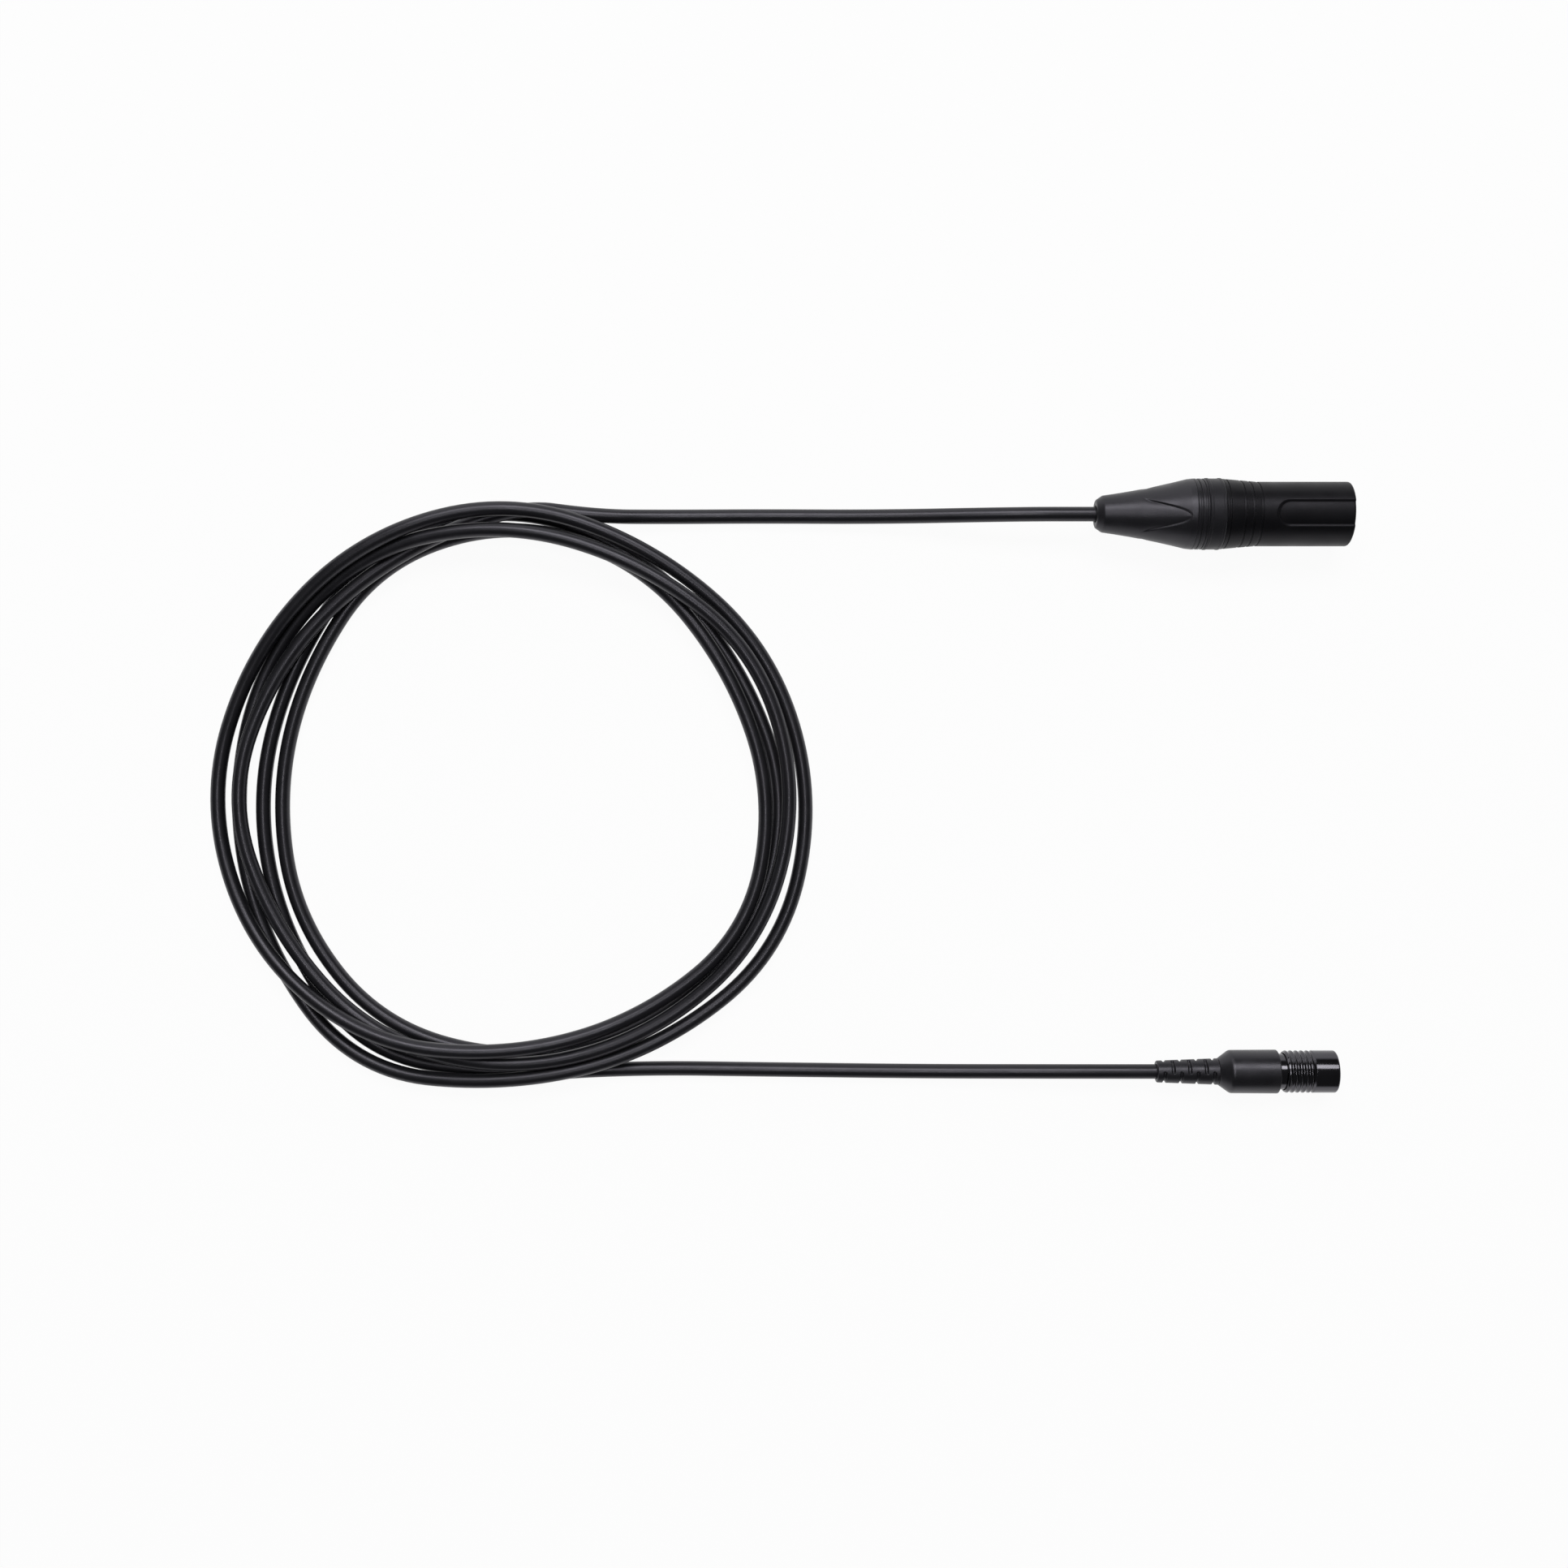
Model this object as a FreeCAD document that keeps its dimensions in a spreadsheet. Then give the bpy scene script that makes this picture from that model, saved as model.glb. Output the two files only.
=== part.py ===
"""Loose coil of thin audio cable with a three-pin plug on one end and a small locking plug on the other.

Millimetres, +Z up. Everything lies on the plane z = 0. The origin is on that plane, in the middle of the
box round the two plugs. Both plugs point along +X, the long plug at +Y, and the coil lies at -X.
"""
import FreeCAD, Part
import math
import os
import Sketcher
from FreeCAD import Vector

doc = FreeCAD.newDocument("cable_coil")

# Driving dimensions, in millimetres and degrees
sheet = doc.addObject("Spreadsheet::Sheet", "Sizes")
DIMENSIONS = [
    # The cord, and where the two plugs lie
    ("cord_diameter", 4.4),
    ("connector_spacing", 166.5),
    ("mini_set_forward", 18.95),
    # Shell of the long plug, with its neck for the boot
    ("shell_shown", 38.0),
    ("barrel_diameter", 19.0),
    ("barrel_wall", 1.35),
    ("shell_shoulder_diameter", 20.8),
    ("shell_taper", 10.4),
    ("shell_lip", 1.0),
    ("rim_round", 0.9),
    ("neck_diameter", 15.4),
    ("neck_length", 12.0),
    ("neck_wall", 1.1),
    ("band_width", 0.7),
    ("band_depth", 0.3),
    ("band_count", 3),
    ("band_pitch", 2.55),
    ("band_start", 5.1),
    ("flute_width", 8.1),
    ("flute_length", 23.2),
    ("flute_depth", 0.5),
    ("flute_turn", -6.0),
    # Insert and contacts of the long plug
    ("mouth_depth", 15.0),
    ("insert_length", 16.0),
    ("seat_gap", 0.05),
    ("pin_diameter", 2.4),
    ("pin_circle", 8.98),
    ("pin_recess", 1.4),
    ("pin_tail", 4.0),
    ("pin_tip", 1.1),
    ("cup_bore", 1.5),
    ("cup_depth", 3.0),
    ("earth_band_width", 4.0),
    ("earth_band_thickness", 0.6),
    ("earth_band_setback", 6.0),
    ("earth_band_opening", 60.0),
    # Coding ring: how far it stands out past the shell's shoulder, and its bevelled edges
    ("ring_length", 5.0),
    ("ring_stand", 0.2),
    ("ring_bevel", 0.15),
    ("ring_edge", 0.7),
    ("turning_gap", 0.3),
    ("cord_gap", 0.35),
    # Boot: the walls round the cord's hole at its rear end, and the skin over the bushing
    ("boot_length", 32.0),
    ("boot_stand", 0.05),
    ("boot_waist_drop", 0.2),
    ("boot_waist_setback", 1.8),
    ("boot_rear_wall", 2.9),
    ("boot_tip_wall", 1.55),
    ("boot_tip", 2.0),
    ("boot_hollow_radius", 222.0),
    ("boot_skin_end", 3.4),
    ("skin_wall", 0.95),
    ("bushing_wall", 0.65),
    ("core_rear_wall", 2.05),
    ("core_tail", 4.0),
    ("collar_groove_width", 0.6),
    ("collar_groove_depth", 0.4),
    ("collar_groove_pitch", 1.5),
    ("collar_groove_start", 0.75),
    ("collar_groove_count", 2),
    ("tongue_length", 14.0),
    ("tongue_count", 3),
    ("tongue_half_angle", 44.0),
    ("tongue_turn", -8.5),
    ("tongue_groove", 0.55),
    ("tongue_depth", 0.4),
    ("tongue_knee_share", 0.62),
    ("tongue_hollow", 0.35),
    ("tongue_crown", 2.0),
    # Chuck in the neck, and the long plug's wires
    ("chuck_tail", 13.0),
    ("chuck_tail_wall", 1.7),
    ("chuck_step", 0.4),
    ("chuck_clamp_length", 14.0),
    ("chuck_wall", 0.7),
    ("chuck_room_taper", 2.0),
    ("chuck_cone_lead", 1.0),
    ("chuck_slit", 1.0),
    ("chuck_slit_length", 11.0),
    ("chuck_slits", 4),
    ("jacket_reach", 2.0),
    ("wire_diameter", 1.1),
    # Small plug: cord guard, its walls measured out from the cord
    ("guard_length", 18.5),
    ("guard_rear_wall", 1.05),
    ("guard_front_wall", 1.75),
    ("guard_tail_wall", 1.2),
    ("guard_tail_length", 5.5),
    ("guard_flange", 1.5),
    ("guard_flange_wall", 2.4),
    ("guard_round", 0.5),
    ("guard_slot_width", 1.15),
    ("guard_slot_depth", 0.6),
    ("guard_long_slot", 302.0),
    ("guard_short_slot", 88.0),
    ("guard_slot_turn", 38.0),
    ("guard_slot_pitch", 4.9),
    ("guard_slot_first", 2.25),
    # Small plug: body and metal barrel
    ("mini_body_diameter", 13.0),
    ("mini_body_taper", 0.1),
    ("mini_body_wall", 0.7),
    ("mini_body_edge", 0.5),
    ("mini_flare", 3.4),
    ("mini_thread_length", 7.15),
    ("mini_neck_length", 4.35),
    ("mini_neck_step", 0.95),
    ("mini_barrel_diameter", 8.8),
    ("mini_barrel_wall", 0.7),
    ("mini_barrel_setback", 0.9),
    # Small plug: lock sleeve with its spring and retaining clip
    ("lock_length", 15.4),
    ("lock_travel", 1.8),
    ("lock_stop_gap", 0.2),
    ("lock_clearance", 0.2),
    ("lock_wall", 0.75),
    ("lock_shoulder_drop", 0.35),
    ("lock_shoulder", 0.8),
    ("lock_land_start", 8.4),
    ("lock_land", 1.9),
    ("lock_mouth_wall", 0.8),
    ("lock_chamfer", 0.4),
    ("rib_count", 4),
    ("rib_pitch", 1.62),
    ("rib_start", 1.45),
    ("rib_groove_width", 0.75),
    ("rib_groove_depth", 0.4),
    ("spring_wire", 0.45),
    ("spring_turns", 4),
    ("spring_seat_gap", 0.1),
    ("clip_width", 0.5),
    ("clip_stand", 0.6),
    ("clip_groove_depth", 0.3),
    ("clip_opening", 40.0),
    # Small plug: insert, contacts, clamp and ferrule
    ("mini_mouth_depth", 3.15),
    ("mini_insert_length", 8.5),
    ("mini_pin_diameter", 1.0),
    ("mini_pin_circle", 4.0),
    ("mini_pin_count", 4),
    ("mini_pin_turn", 45.0),
    ("mini_pin_tail", 2.0),
    ("mini_pin_reach", 2.2),
    ("mini_clamp_gap", 0.2),
    ("mini_clamp_length", 4.8),
    ("mini_clamp_wall", 1.6),
    ("mini_clamp_rim", 1.0),
    ("mini_clamp_slit", 0.8),
    ("mini_clamp_web", 0.5),
    ("ferrule_length", 3.5),
    ("ferrule_wall", 0.4),
    ("mini_wire_diameter", 0.8),
    # The coil, the height where it starts, and the two free stretches
    ("coil_middle_x", -212.0),
    ("coil_start_reach", 83.7),
    ("coil_start_height", 6.9),
    ("coil_end_reach", 83.3),
    ("cord_least_gap", 0.4),
]
for row, (name, value) in enumerate(DIMENSIONS, start=1):
    sheet.set("A%d" % row, name.replace("_", " "))
    sheet.set("B%d" % row, str(value))
    sheet.setAlias("B%d" % row, name)
doc.recompute()


def size(expression):
    """Value of an expression over the sheet's names."""
    value = sheet.evalExpression(expression)
    return float(getattr(value, "Value", value))


# Where each plug's own frame stands: its X axis is the plug's axis, and it starts at the cord's end.
# The long plug rests on its coding ring and the small plug on its body.
CORD_RADIUS = "(Sizes.cord_diameter / 2)"
LONG_PLUG = "(Sizes.boot_length + Sizes.ring_length + Sizes.shell_shown)"
SHOULDER_RADIUS = "(Sizes.shell_shoulder_diameter / 2)"
RING_RADIUS = "(%s + Sizes.ring_stand)" % SHOULDER_RADIUS
MINI_RADIUS = "(Sizes.mini_body_diameter / 2)"
PLACES = {
    "xlr": (
        "-%s / 2" % LONG_PLUG,
        "(Sizes.connector_spacing + %s - %s) / 2" % (MINI_RADIUS, RING_RADIUS),
        RING_RADIUS,
    ),
    "mini": (
        "Sizes.mini_set_forward - %s / 2" % LONG_PLUG,
        "(%s - %s - Sizes.connector_spacing) / 2" % (MINI_RADIUS, RING_RADIUS),
        MINI_RADIUS,
    ),
}
XLR = Vector(*[size(text) for text in PLACES["xlr"]])
MINI = Vector(*[size(text) for text in PLACES["mini"]])

ALONG = Vector(1, 0, 0)
ORIGIN = Vector(0, 0, 0)
CUTTER_REACH = 1.0  # how far a cutting shape stands out past the surface that it cuts
subparts = []


def place(piece, plug):
    """Bind a piece's Placement to its plug's place."""
    for axis, expression in zip("xyz", PLACES[plug]):
        piece.setExpression(".Placement.Base." + axis, expression)
    return piece


def roll(piece, expression):
    """Turn a placed piece about its plug's axis by an angle in degrees."""
    piece.Placement.Rotation = FreeCAD.Rotation(ALONG, size(expression))
    piece.setExpression(".Placement.Rotation.Angle", expression)
    return piece


def keep(piece, label):
    """Give a finished piece its own name and list it for export."""
    piece.Label = label
    subparts.append(piece)
    return piece


def new_body(name, plug):
    return place(doc.addObject("PartDesign::Body", name), plug)


def plane_of(body, role):
    return next(item for item in body.Origin.OriginFeatures if item.Role == role)


def new_sketch(body, name, role="XY_Plane", offset=None):
    sketch = body.newObject("Sketcher::SketchObject", name)
    sketch.AttachmentSupport = [(plane_of(body, role), "")]
    sketch.MapMode = "FlatFace"
    if offset:
        sketch.setExpression(".AttachmentOffset.Base.z", offset)
    return sketch


def pin_point(sketch, geometry, end, along, across, name):
    """Hold one end of a line at two sizes from the sketch's origin."""
    for kind, expression in (("DistanceX", along), ("DistanceY", across)):
        value = size(expression)
        if abs(value) < 1e-9:
            axis = -2 if kind == "DistanceX" else -1
            sketch.addConstraint(Sketcher.Constraint("PointOnObject", geometry, end, axis))
            continue
        index = sketch.addConstraint(Sketcher.Constraint(kind, -1, 1, geometry, end, value))
        label = "%s_%s" % (name, "x" if kind == "DistanceX" else "y")
        sketch.renameConstraint(index, label)
        sketch.setExpression(".Constraints." + label, expression)


def arc_between(start, end, radius, side):
    """Arc of this radius from start to end, its middle on the given side of the chord."""
    chord = end - start
    sag = radius - math.sqrt(radius ** 2 - chord.Length ** 2 / 4)
    across = Vector(-chord.y, chord.x, 0).normalize()
    return Part.Arc(start, (start + end) / 2 + across * sag * side, end)


def draw_outline(sketch, corners, curves=None):
    """Closed outline through corners given as (along, across) expressions.

    curves maps a corner's number to (radius expression, side) for the edge that leaves it.
    """
    curves = curves or {}
    points = [Vector(size(along), size(across), 0) for along, across in corners]
    count = len(points)
    for i, point in enumerate(points):
        following = points[(i + 1) % count]
        if i in curves:
            radius, side = curves[i]
            sketch.addGeometry(arc_between(point, following, size(radius), side), False)
        else:
            sketch.addGeometry(Part.LineSegment(point, following), False)
    first = []
    last = []
    for i in range(count):
        # an arc's first end is the one that it leaves anticlockwise
        clockwise = False
        if i in curves:
            clockwise = curves[i][1] > 0
        first.append(2 if clockwise else 1)
        last.append(1 if clockwise else 2)
    for i in range(count):
        following = (i + 1) % count
        sketch.addConstraint(Sketcher.Constraint("Coincident", i, last[i], following, first[following]))
        pin_point(sketch, i, first[i], corners[i][0], corners[i][1], "corner%d" % i)
        if i in curves:
            index = sketch.addConstraint(Sketcher.Constraint("Radius", i, size(curves[i][0])))
            sketch.renameConstraint(index, "curve%d" % i)
            sketch.setExpression(".Constraints.curve%d" % i, curves[i][0])


def turn(body, name, corners, curves=None, opening="0"):
    """Turned piece: the outline goes round the plug's axis, apart from an opening in degrees."""
    sketch = new_sketch(body, name + "_section")
    draw_outline(sketch, corners, curves)
    turned = body.newObject("PartDesign::Revolution", name)
    turned.Profile = sketch
    turned.ReferenceAxis = (sketch, ["H_Axis"])
    turned.setExpression(".Angle", "360 - " + opening)
    body.Tip = turned
    return turned


def groove(body, name, corners):
    """Turned groove of any section round the plug's axis."""
    sketch = new_sketch(body, name + "_section")
    draw_outline(sketch, corners)
    cut = body.newObject("PartDesign::Groove", name)
    cut.Profile = sketch
    cut.ReferenceAxis = (sketch, ["H_Axis"])
    cut.Angle = 360.0
    body.Tip = cut
    return cut


def ring_groove(body, name, rear, width, surface, floor):
    """Square groove from the radius of the surface down to the radius of the floor."""
    front = rear + " + " + width
    above = "%s + %g" % (surface, CUTTER_REACH)
    return groove(body, name, [(rear, above), (rear, floor), (front, floor), (front, above)])


def repeat_along(body, name, feature, pitch, count):
    """Copies of a feature along the plug's axis."""
    pattern = body.newObject("PartDesign::LinearPattern", name)
    pattern.Originals = [feature]
    pattern.Direction = (plane_of(body, "X_Axis"), [""])
    pattern.setExpression(".Occurrences", count)
    pattern.setExpression(".Length", "%s * (%s - 1)" % (pitch, count))
    body.Tip = pattern
    return pattern


def round_edges(body, name, radius, where):
    """Fillet of the body's circular edges that lie at the given (along, radius) places."""
    doc.recompute()
    base = body.Tip
    places = [(size(along), size(across)) for along, across in where]
    edges = []
    for number, edge in enumerate(base.Shape.Edges, start=1):
        if not isinstance(edge.Curve, Part.Circle):
            continue
        along = edge.Curve.Center.x
        across = edge.Curve.Radius
        if any(abs(along - a) < 1e-3 and abs(across - r) < 1e-3 for a, r in places):
            edges.append("Edge%d" % number)
    fillet = body.newObject("PartDesign::Fillet", name)
    fillet.Base = (base, edges)
    fillet.setExpression(".Radius", radius)
    body.Tip = fillet
    return fillet


def cut_from(base, tool, name, label):
    cut = doc.addObject("Part::Cut", name)
    cut.Base = base
    cut.Tool = tool
    return keep(cut, label)


# Shell of the long plug: one turned metal tube, with a neck behind its shoulder for the boot
SHOULDER = "(Sizes.boot_length + Sizes.ring_length)"
MOUTH_FLOOR = "(%s - Sizes.mouth_depth)" % LONG_PLUG
SEAT = "(%s - Sizes.insert_length)" % MOUTH_FLOOR
NECK_REAR = "(%s - Sizes.neck_length)" % SHOULDER
STRAIGHT = "(%s + Sizes.shell_taper)" % SHOULDER
BARREL_RADIUS = "(Sizes.barrel_diameter / 2)"
BARREL_BORE = "(%s - Sizes.barrel_wall)" % BARREL_RADIUS
NECK_RADIUS = "(Sizes.neck_diameter / 2)"
NECK_BORE = "(%s - Sizes.neck_wall)" % NECK_RADIUS
# The shell is drawn with its flute on the side and rolled until the flute lies near the top
SHELL_ROLL = "90 - Sizes.flute_turn"

shell_body = new_body("shell_blank", "xlr")
roll(shell_body, SHELL_ROLL)
turn(shell_body, "shell_turning", [
    (NECK_REAR, NECK_BORE),
    (SEAT, NECK_BORE),
    (SEAT, BARREL_BORE),
    (LONG_PLUG, BARREL_BORE),
    (LONG_PLUG, BARREL_RADIUS),
    (STRAIGHT, BARREL_RADIUS),
    (SHOULDER, SHOULDER_RADIUS),
    (SHOULDER, NECK_RADIUS),
    (NECK_REAR, NECK_RADIUS),
])
ring_groove(shell_body, "lip_groove", SHOULDER + " + Sizes.shell_lip", "Sizes.band_width / 2",
            SHOULDER_RADIUS, SHOULDER_RADIUS + " - Sizes.band_depth")
for number in range(int(size("Sizes.band_count"))):
    ahead = "(Sizes.band_start + %d * Sizes.band_pitch)" % number
    # each groove is cut to one depth under the place of the tapered surface where its middle lies
    middle = "min((%s + Sizes.band_width / 2) / Sizes.shell_taper; 1)" % ahead
    surface = "%s - (%s - %s) * %s" % (SHOULDER_RADIUS, SHOULDER_RADIUS, BARREL_RADIUS, middle)
    ring_groove(shell_body, "band_groove_%d" % number, SHOULDER + " + " + ahead, "Sizes.band_width",
                SHOULDER_RADIUS, surface + " - Sizes.band_depth")
round_edges(shell_body, "rim_rounding", "Sizes.rim_round", [(LONG_PLUG, BARREL_RADIUS)])

# The flute: a shallow channel along the barrel, round at its rear end and open at the rim
flute_plan = doc.addObject("Part::Feature", "flute_plan")
half = size("Sizes.flute_width / 2")
flute_rear = size(LONG_PLUG + " - Sizes.flute_length")
flute_front = size(LONG_PLUG) + CUTTER_REACH
flute_outline = Part.Wire([
    Part.LineSegment(Vector(flute_front, 0, half), Vector(flute_rear + half, 0, half)).toShape(),
    Part.Arc(Vector(flute_rear + half, 0, half), Vector(flute_rear, 0, 0),
             Vector(flute_rear + half, 0, -half)).toShape(),
    Part.LineSegment(Vector(flute_rear + half, 0, -half), Vector(flute_front, 0, -half)).toShape(),
    Part.LineSegment(Vector(flute_front, 0, -half), Vector(flute_front, 0, half)).toShape(),
])
flute_block = Part.Face(flute_outline).extrude(Vector(0, size("Sizes.barrel_diameter"), 0))
flute_core = Part.makeCylinder(size(BARREL_RADIUS + " - Sizes.flute_depth"),
                               size("Sizes.flute_length") + 2 * CUTTER_REACH,
                               ALONG * (flute_rear - CUTTER_REACH), ALONG)
flute_plan.Shape = flute_block.cut(flute_core)
roll(place(flute_plan, "xlr"), SHELL_ROLL)
cut_from(shell_body, flute_plan, "shell", "xlr_shell")

# Insert of the long plug: a moulded disc with three holes for the contacts and a seat for the earth band
PIN_ANGLES = [45.0, -45.0, 180.0]
INSERT_RADIUS = "(%s - Sizes.seat_gap)" % BARREL_BORE
BAND_REAR = SEAT + " + Sizes.earth_band_setback"


def round_with_holes(body, name, rear, length, radius, hole_radius, circle, angles):
    """Disc along the plug's axis with round holes on a circle; angles run from the top."""
    sketch = new_sketch(body, name + "_face", "YZ_Plane", rear)
    circles = [(0.0, None, radius)] + [(angle, circle, hole_radius) for angle in angles]
    for number, (angle, ring, rim) in enumerate(circles):
        reach = size(ring + " / 2") if ring else 0.0
        centre = Vector(reach * math.sin(math.radians(angle)), reach * math.cos(math.radians(angle)), 0)
        sketch.addGeometry(Part.Circle(centre, Vector(0, 0, 1), size(rim)), False)
        index = sketch.addConstraint(Sketcher.Constraint("Radius", number, size(rim)))
        sketch.renameConstraint(index, "radius%d" % number)
        sketch.setExpression(".Constraints.radius%d" % number, rim)
        if ring is None:
            sketch.addConstraint(Sketcher.Constraint("Coincident", number, 3, -1, 1))
        else:
            across = "%s / 2 * sin(%g deg)" % (ring, angle)
            up = "%s / 2 * cos(%g deg)" % (ring, angle)
            pin_point(sketch, number, 3, across, up, "hole%d" % number)
    pad = body.newObject("PartDesign::Pad", name)
    pad.Profile = sketch
    pad.setExpression(".Length", length)
    body.Tip = pad
    return pad


insert_body = new_body("insert", "xlr")
round_with_holes(insert_body, "insert_disc", SEAT, "Sizes.insert_length", INSERT_RADIUS,
                 "Sizes.pin_diameter / 2", "Sizes.pin_circle", PIN_ANGLES)
ring_groove(insert_body, "earth_seat", BAND_REAR, "Sizes.earth_band_width",
            INSERT_RADIUS, INSERT_RADIUS + " - Sizes.earth_band_thickness")
keep(insert_body, "xlr_insert")

# Earth band: an open spring band in the insert's seat, which touches the shell
earth_body = new_body("earth_band", "xlr")
turn(earth_body, "earth_strip", [
    (BAND_REAR, INSERT_RADIUS + " - Sizes.earth_band_thickness"),
    (BAND_REAR + " + Sizes.earth_band_width", INSERT_RADIUS + " - Sizes.earth_band_thickness"),
    (BAND_REAR + " + Sizes.earth_band_width", INSERT_RADIUS),
    (BAND_REAR, INSERT_RADIUS),
], opening="Sizes.earth_band_opening")
keep(earth_body, "xlr_earth_band")

# Contacts: three turned pins with a solder cup behind and a bevelled tip
PIN_REAR = SEAT + " - Sizes.pin_tail"
PIN_FRONT = LONG_PLUG + " - Sizes.pin_recess"
for number, angle in enumerate(PIN_ANGLES, start=1):
    pin_body = new_body("pin_%d" % number, "xlr")
    turn(pin_body, "pin_turning_%d" % number, [
        (PIN_REAR + " + Sizes.cup_depth", "0"),
        (PIN_REAR + " + Sizes.cup_depth", "Sizes.cup_bore / 2"),
        (PIN_REAR, "Sizes.cup_bore / 2"),
        (PIN_REAR, "Sizes.pin_diameter / 2"),
        (PIN_FRONT + " - Sizes.pin_tip", "Sizes.pin_diameter / 2"),
        (PIN_FRONT, "Sizes.pin_diameter / 4"),
        (PIN_FRONT, "0"),
    ])
    side = PLACES["xlr"][1] + " + Sizes.pin_circle / 2 * sin(%g deg)" % angle
    rise = PLACES["xlr"][2] + " + Sizes.pin_circle / 2 * cos(%g deg)" % angle
    pin_body.setExpression(".Placement.Base.y", side)
    pin_body.setExpression(".Placement.Base.z", rise)
    keep(pin_body, "xlr_pin_%d" % number)

# Coding ring: slides on the neck between the shell's shoulder and the boot
RING_REAR = "(%s - Sizes.ring_length)" % SHOULDER
TURNING_BORE = "(%s + Sizes.turning_gap)" % NECK_RADIUS
ring_body = new_body("coding_ring", "xlr")
turn(ring_body, "ring_turning", [
    (RING_REAR, TURNING_BORE),
    (SHOULDER, TURNING_BORE),
    (SHOULDER, RING_RADIUS + " - Sizes.ring_bevel"),
    (SHOULDER + " - Sizes.ring_edge", RING_RADIUS),
    (RING_REAR + " + Sizes.ring_edge", RING_RADIUS),
    (RING_REAR, RING_RADIUS + " - Sizes.ring_bevel"),
])
keep(ring_body, "xlr_coding_ring")

# Boot bushing: the hard inside of the boot, with the thread for the neck and the cone for the chuck
SKIN_END = "(%s - Sizes.boot_skin_end)" % RING_REAR
CORD_HOLE = "(%s + Sizes.cord_gap)" % CORD_RADIUS
CHUCK_REAR = "(%s - Sizes.chuck_tail)" % NECK_REAR
CHUCK_RADIUS = "(%s - 2 * Sizes.seat_gap)" % NECK_BORE
CHUCK_WAIST = "(%s - Sizes.chuck_step)" % CHUCK_RADIUS
CHUCK_TAIL = "(%s + Sizes.chuck_tail_wall)" % CORD_RADIUS
CORE_REAR = "(%s - Sizes.core_tail)" % CHUCK_REAR
CORE_END = "(%s + Sizes.core_rear_wall)" % CORD_HOLE
CORE_MIDDLE = "(%s + Sizes.bushing_wall)" % TURNING_BORE
BOOT_RADIUS = "(%s + Sizes.boot_stand)" % SHOULDER_RADIUS
CORE_FRONT = "(%s - Sizes.skin_wall)" % BOOT_RADIUS
CONE_REAR = "(%s - Sizes.chuck_cone_lead)" % CHUCK_REAR
CONE_FRONT = "(%s - Sizes.turning_gap)" % NECK_REAR
bushing_body = new_body("bushing", "xlr")
turn(bushing_body, "bushing_turning", [
    (CORE_REAR, CORD_HOLE),
    (CONE_REAR, CORD_HOLE),
    (CONE_REAR, CHUCK_TAIL + " + Sizes.cord_gap"),
    (CONE_FRONT, CHUCK_WAIST + " + Sizes.cord_gap"),
    (CONE_FRONT, TURNING_BORE),
    (RING_REAR, TURNING_BORE),
    (RING_REAR, BOOT_RADIUS),
    (SKIN_END, BOOT_RADIUS),
    (SKIN_END, CORE_FRONT),
    (CONE_FRONT, CORE_MIDDLE),
    (CORE_REAR, CORE_END),
])
collar_groove = ring_groove(bushing_body, "collar_groove", SKIN_END + " + Sizes.collar_groove_start",
                            "Sizes.collar_groove_width", BOOT_RADIUS,
                            BOOT_RADIUS + " - Sizes.collar_groove_depth")
repeat_along(bushing_body, "collar_grooves", collar_groove, "Sizes.collar_groove_pitch",
             "Sizes.collar_groove_count")
keep(bushing_body, "xlr_boot_bushing")

# Boot skin: soft moulding over the bushing, a hollow-sided cone with tongue-shaped panels
WAIST = "(%s - Sizes.boot_waist_setback)" % SKIN_END
WAIST_RADIUS = "(%s - Sizes.boot_waist_drop)" % BOOT_RADIUS
BOOT_REAR = "(%s + Sizes.boot_rear_wall)" % CORD_HOLE
skin_body = new_body("boot_skin", "xlr")
turn(skin_body, "skin_moulding", [
    ("0", CORD_HOLE),
    (CORE_REAR, CORD_HOLE),
    (CORE_REAR, CORE_END),
    (CONE_FRONT, CORE_MIDDLE),
    (SKIN_END, CORE_FRONT),
    (SKIN_END, BOOT_RADIUS),
    (WAIST, WAIST_RADIUS),
    ("Sizes.boot_tip", BOOT_REAR),
    ("0", CORD_HOLE + " + Sizes.boot_tip_wall"),
], curves={6: ("Sizes.boot_hollow_radius", 1)})


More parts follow.
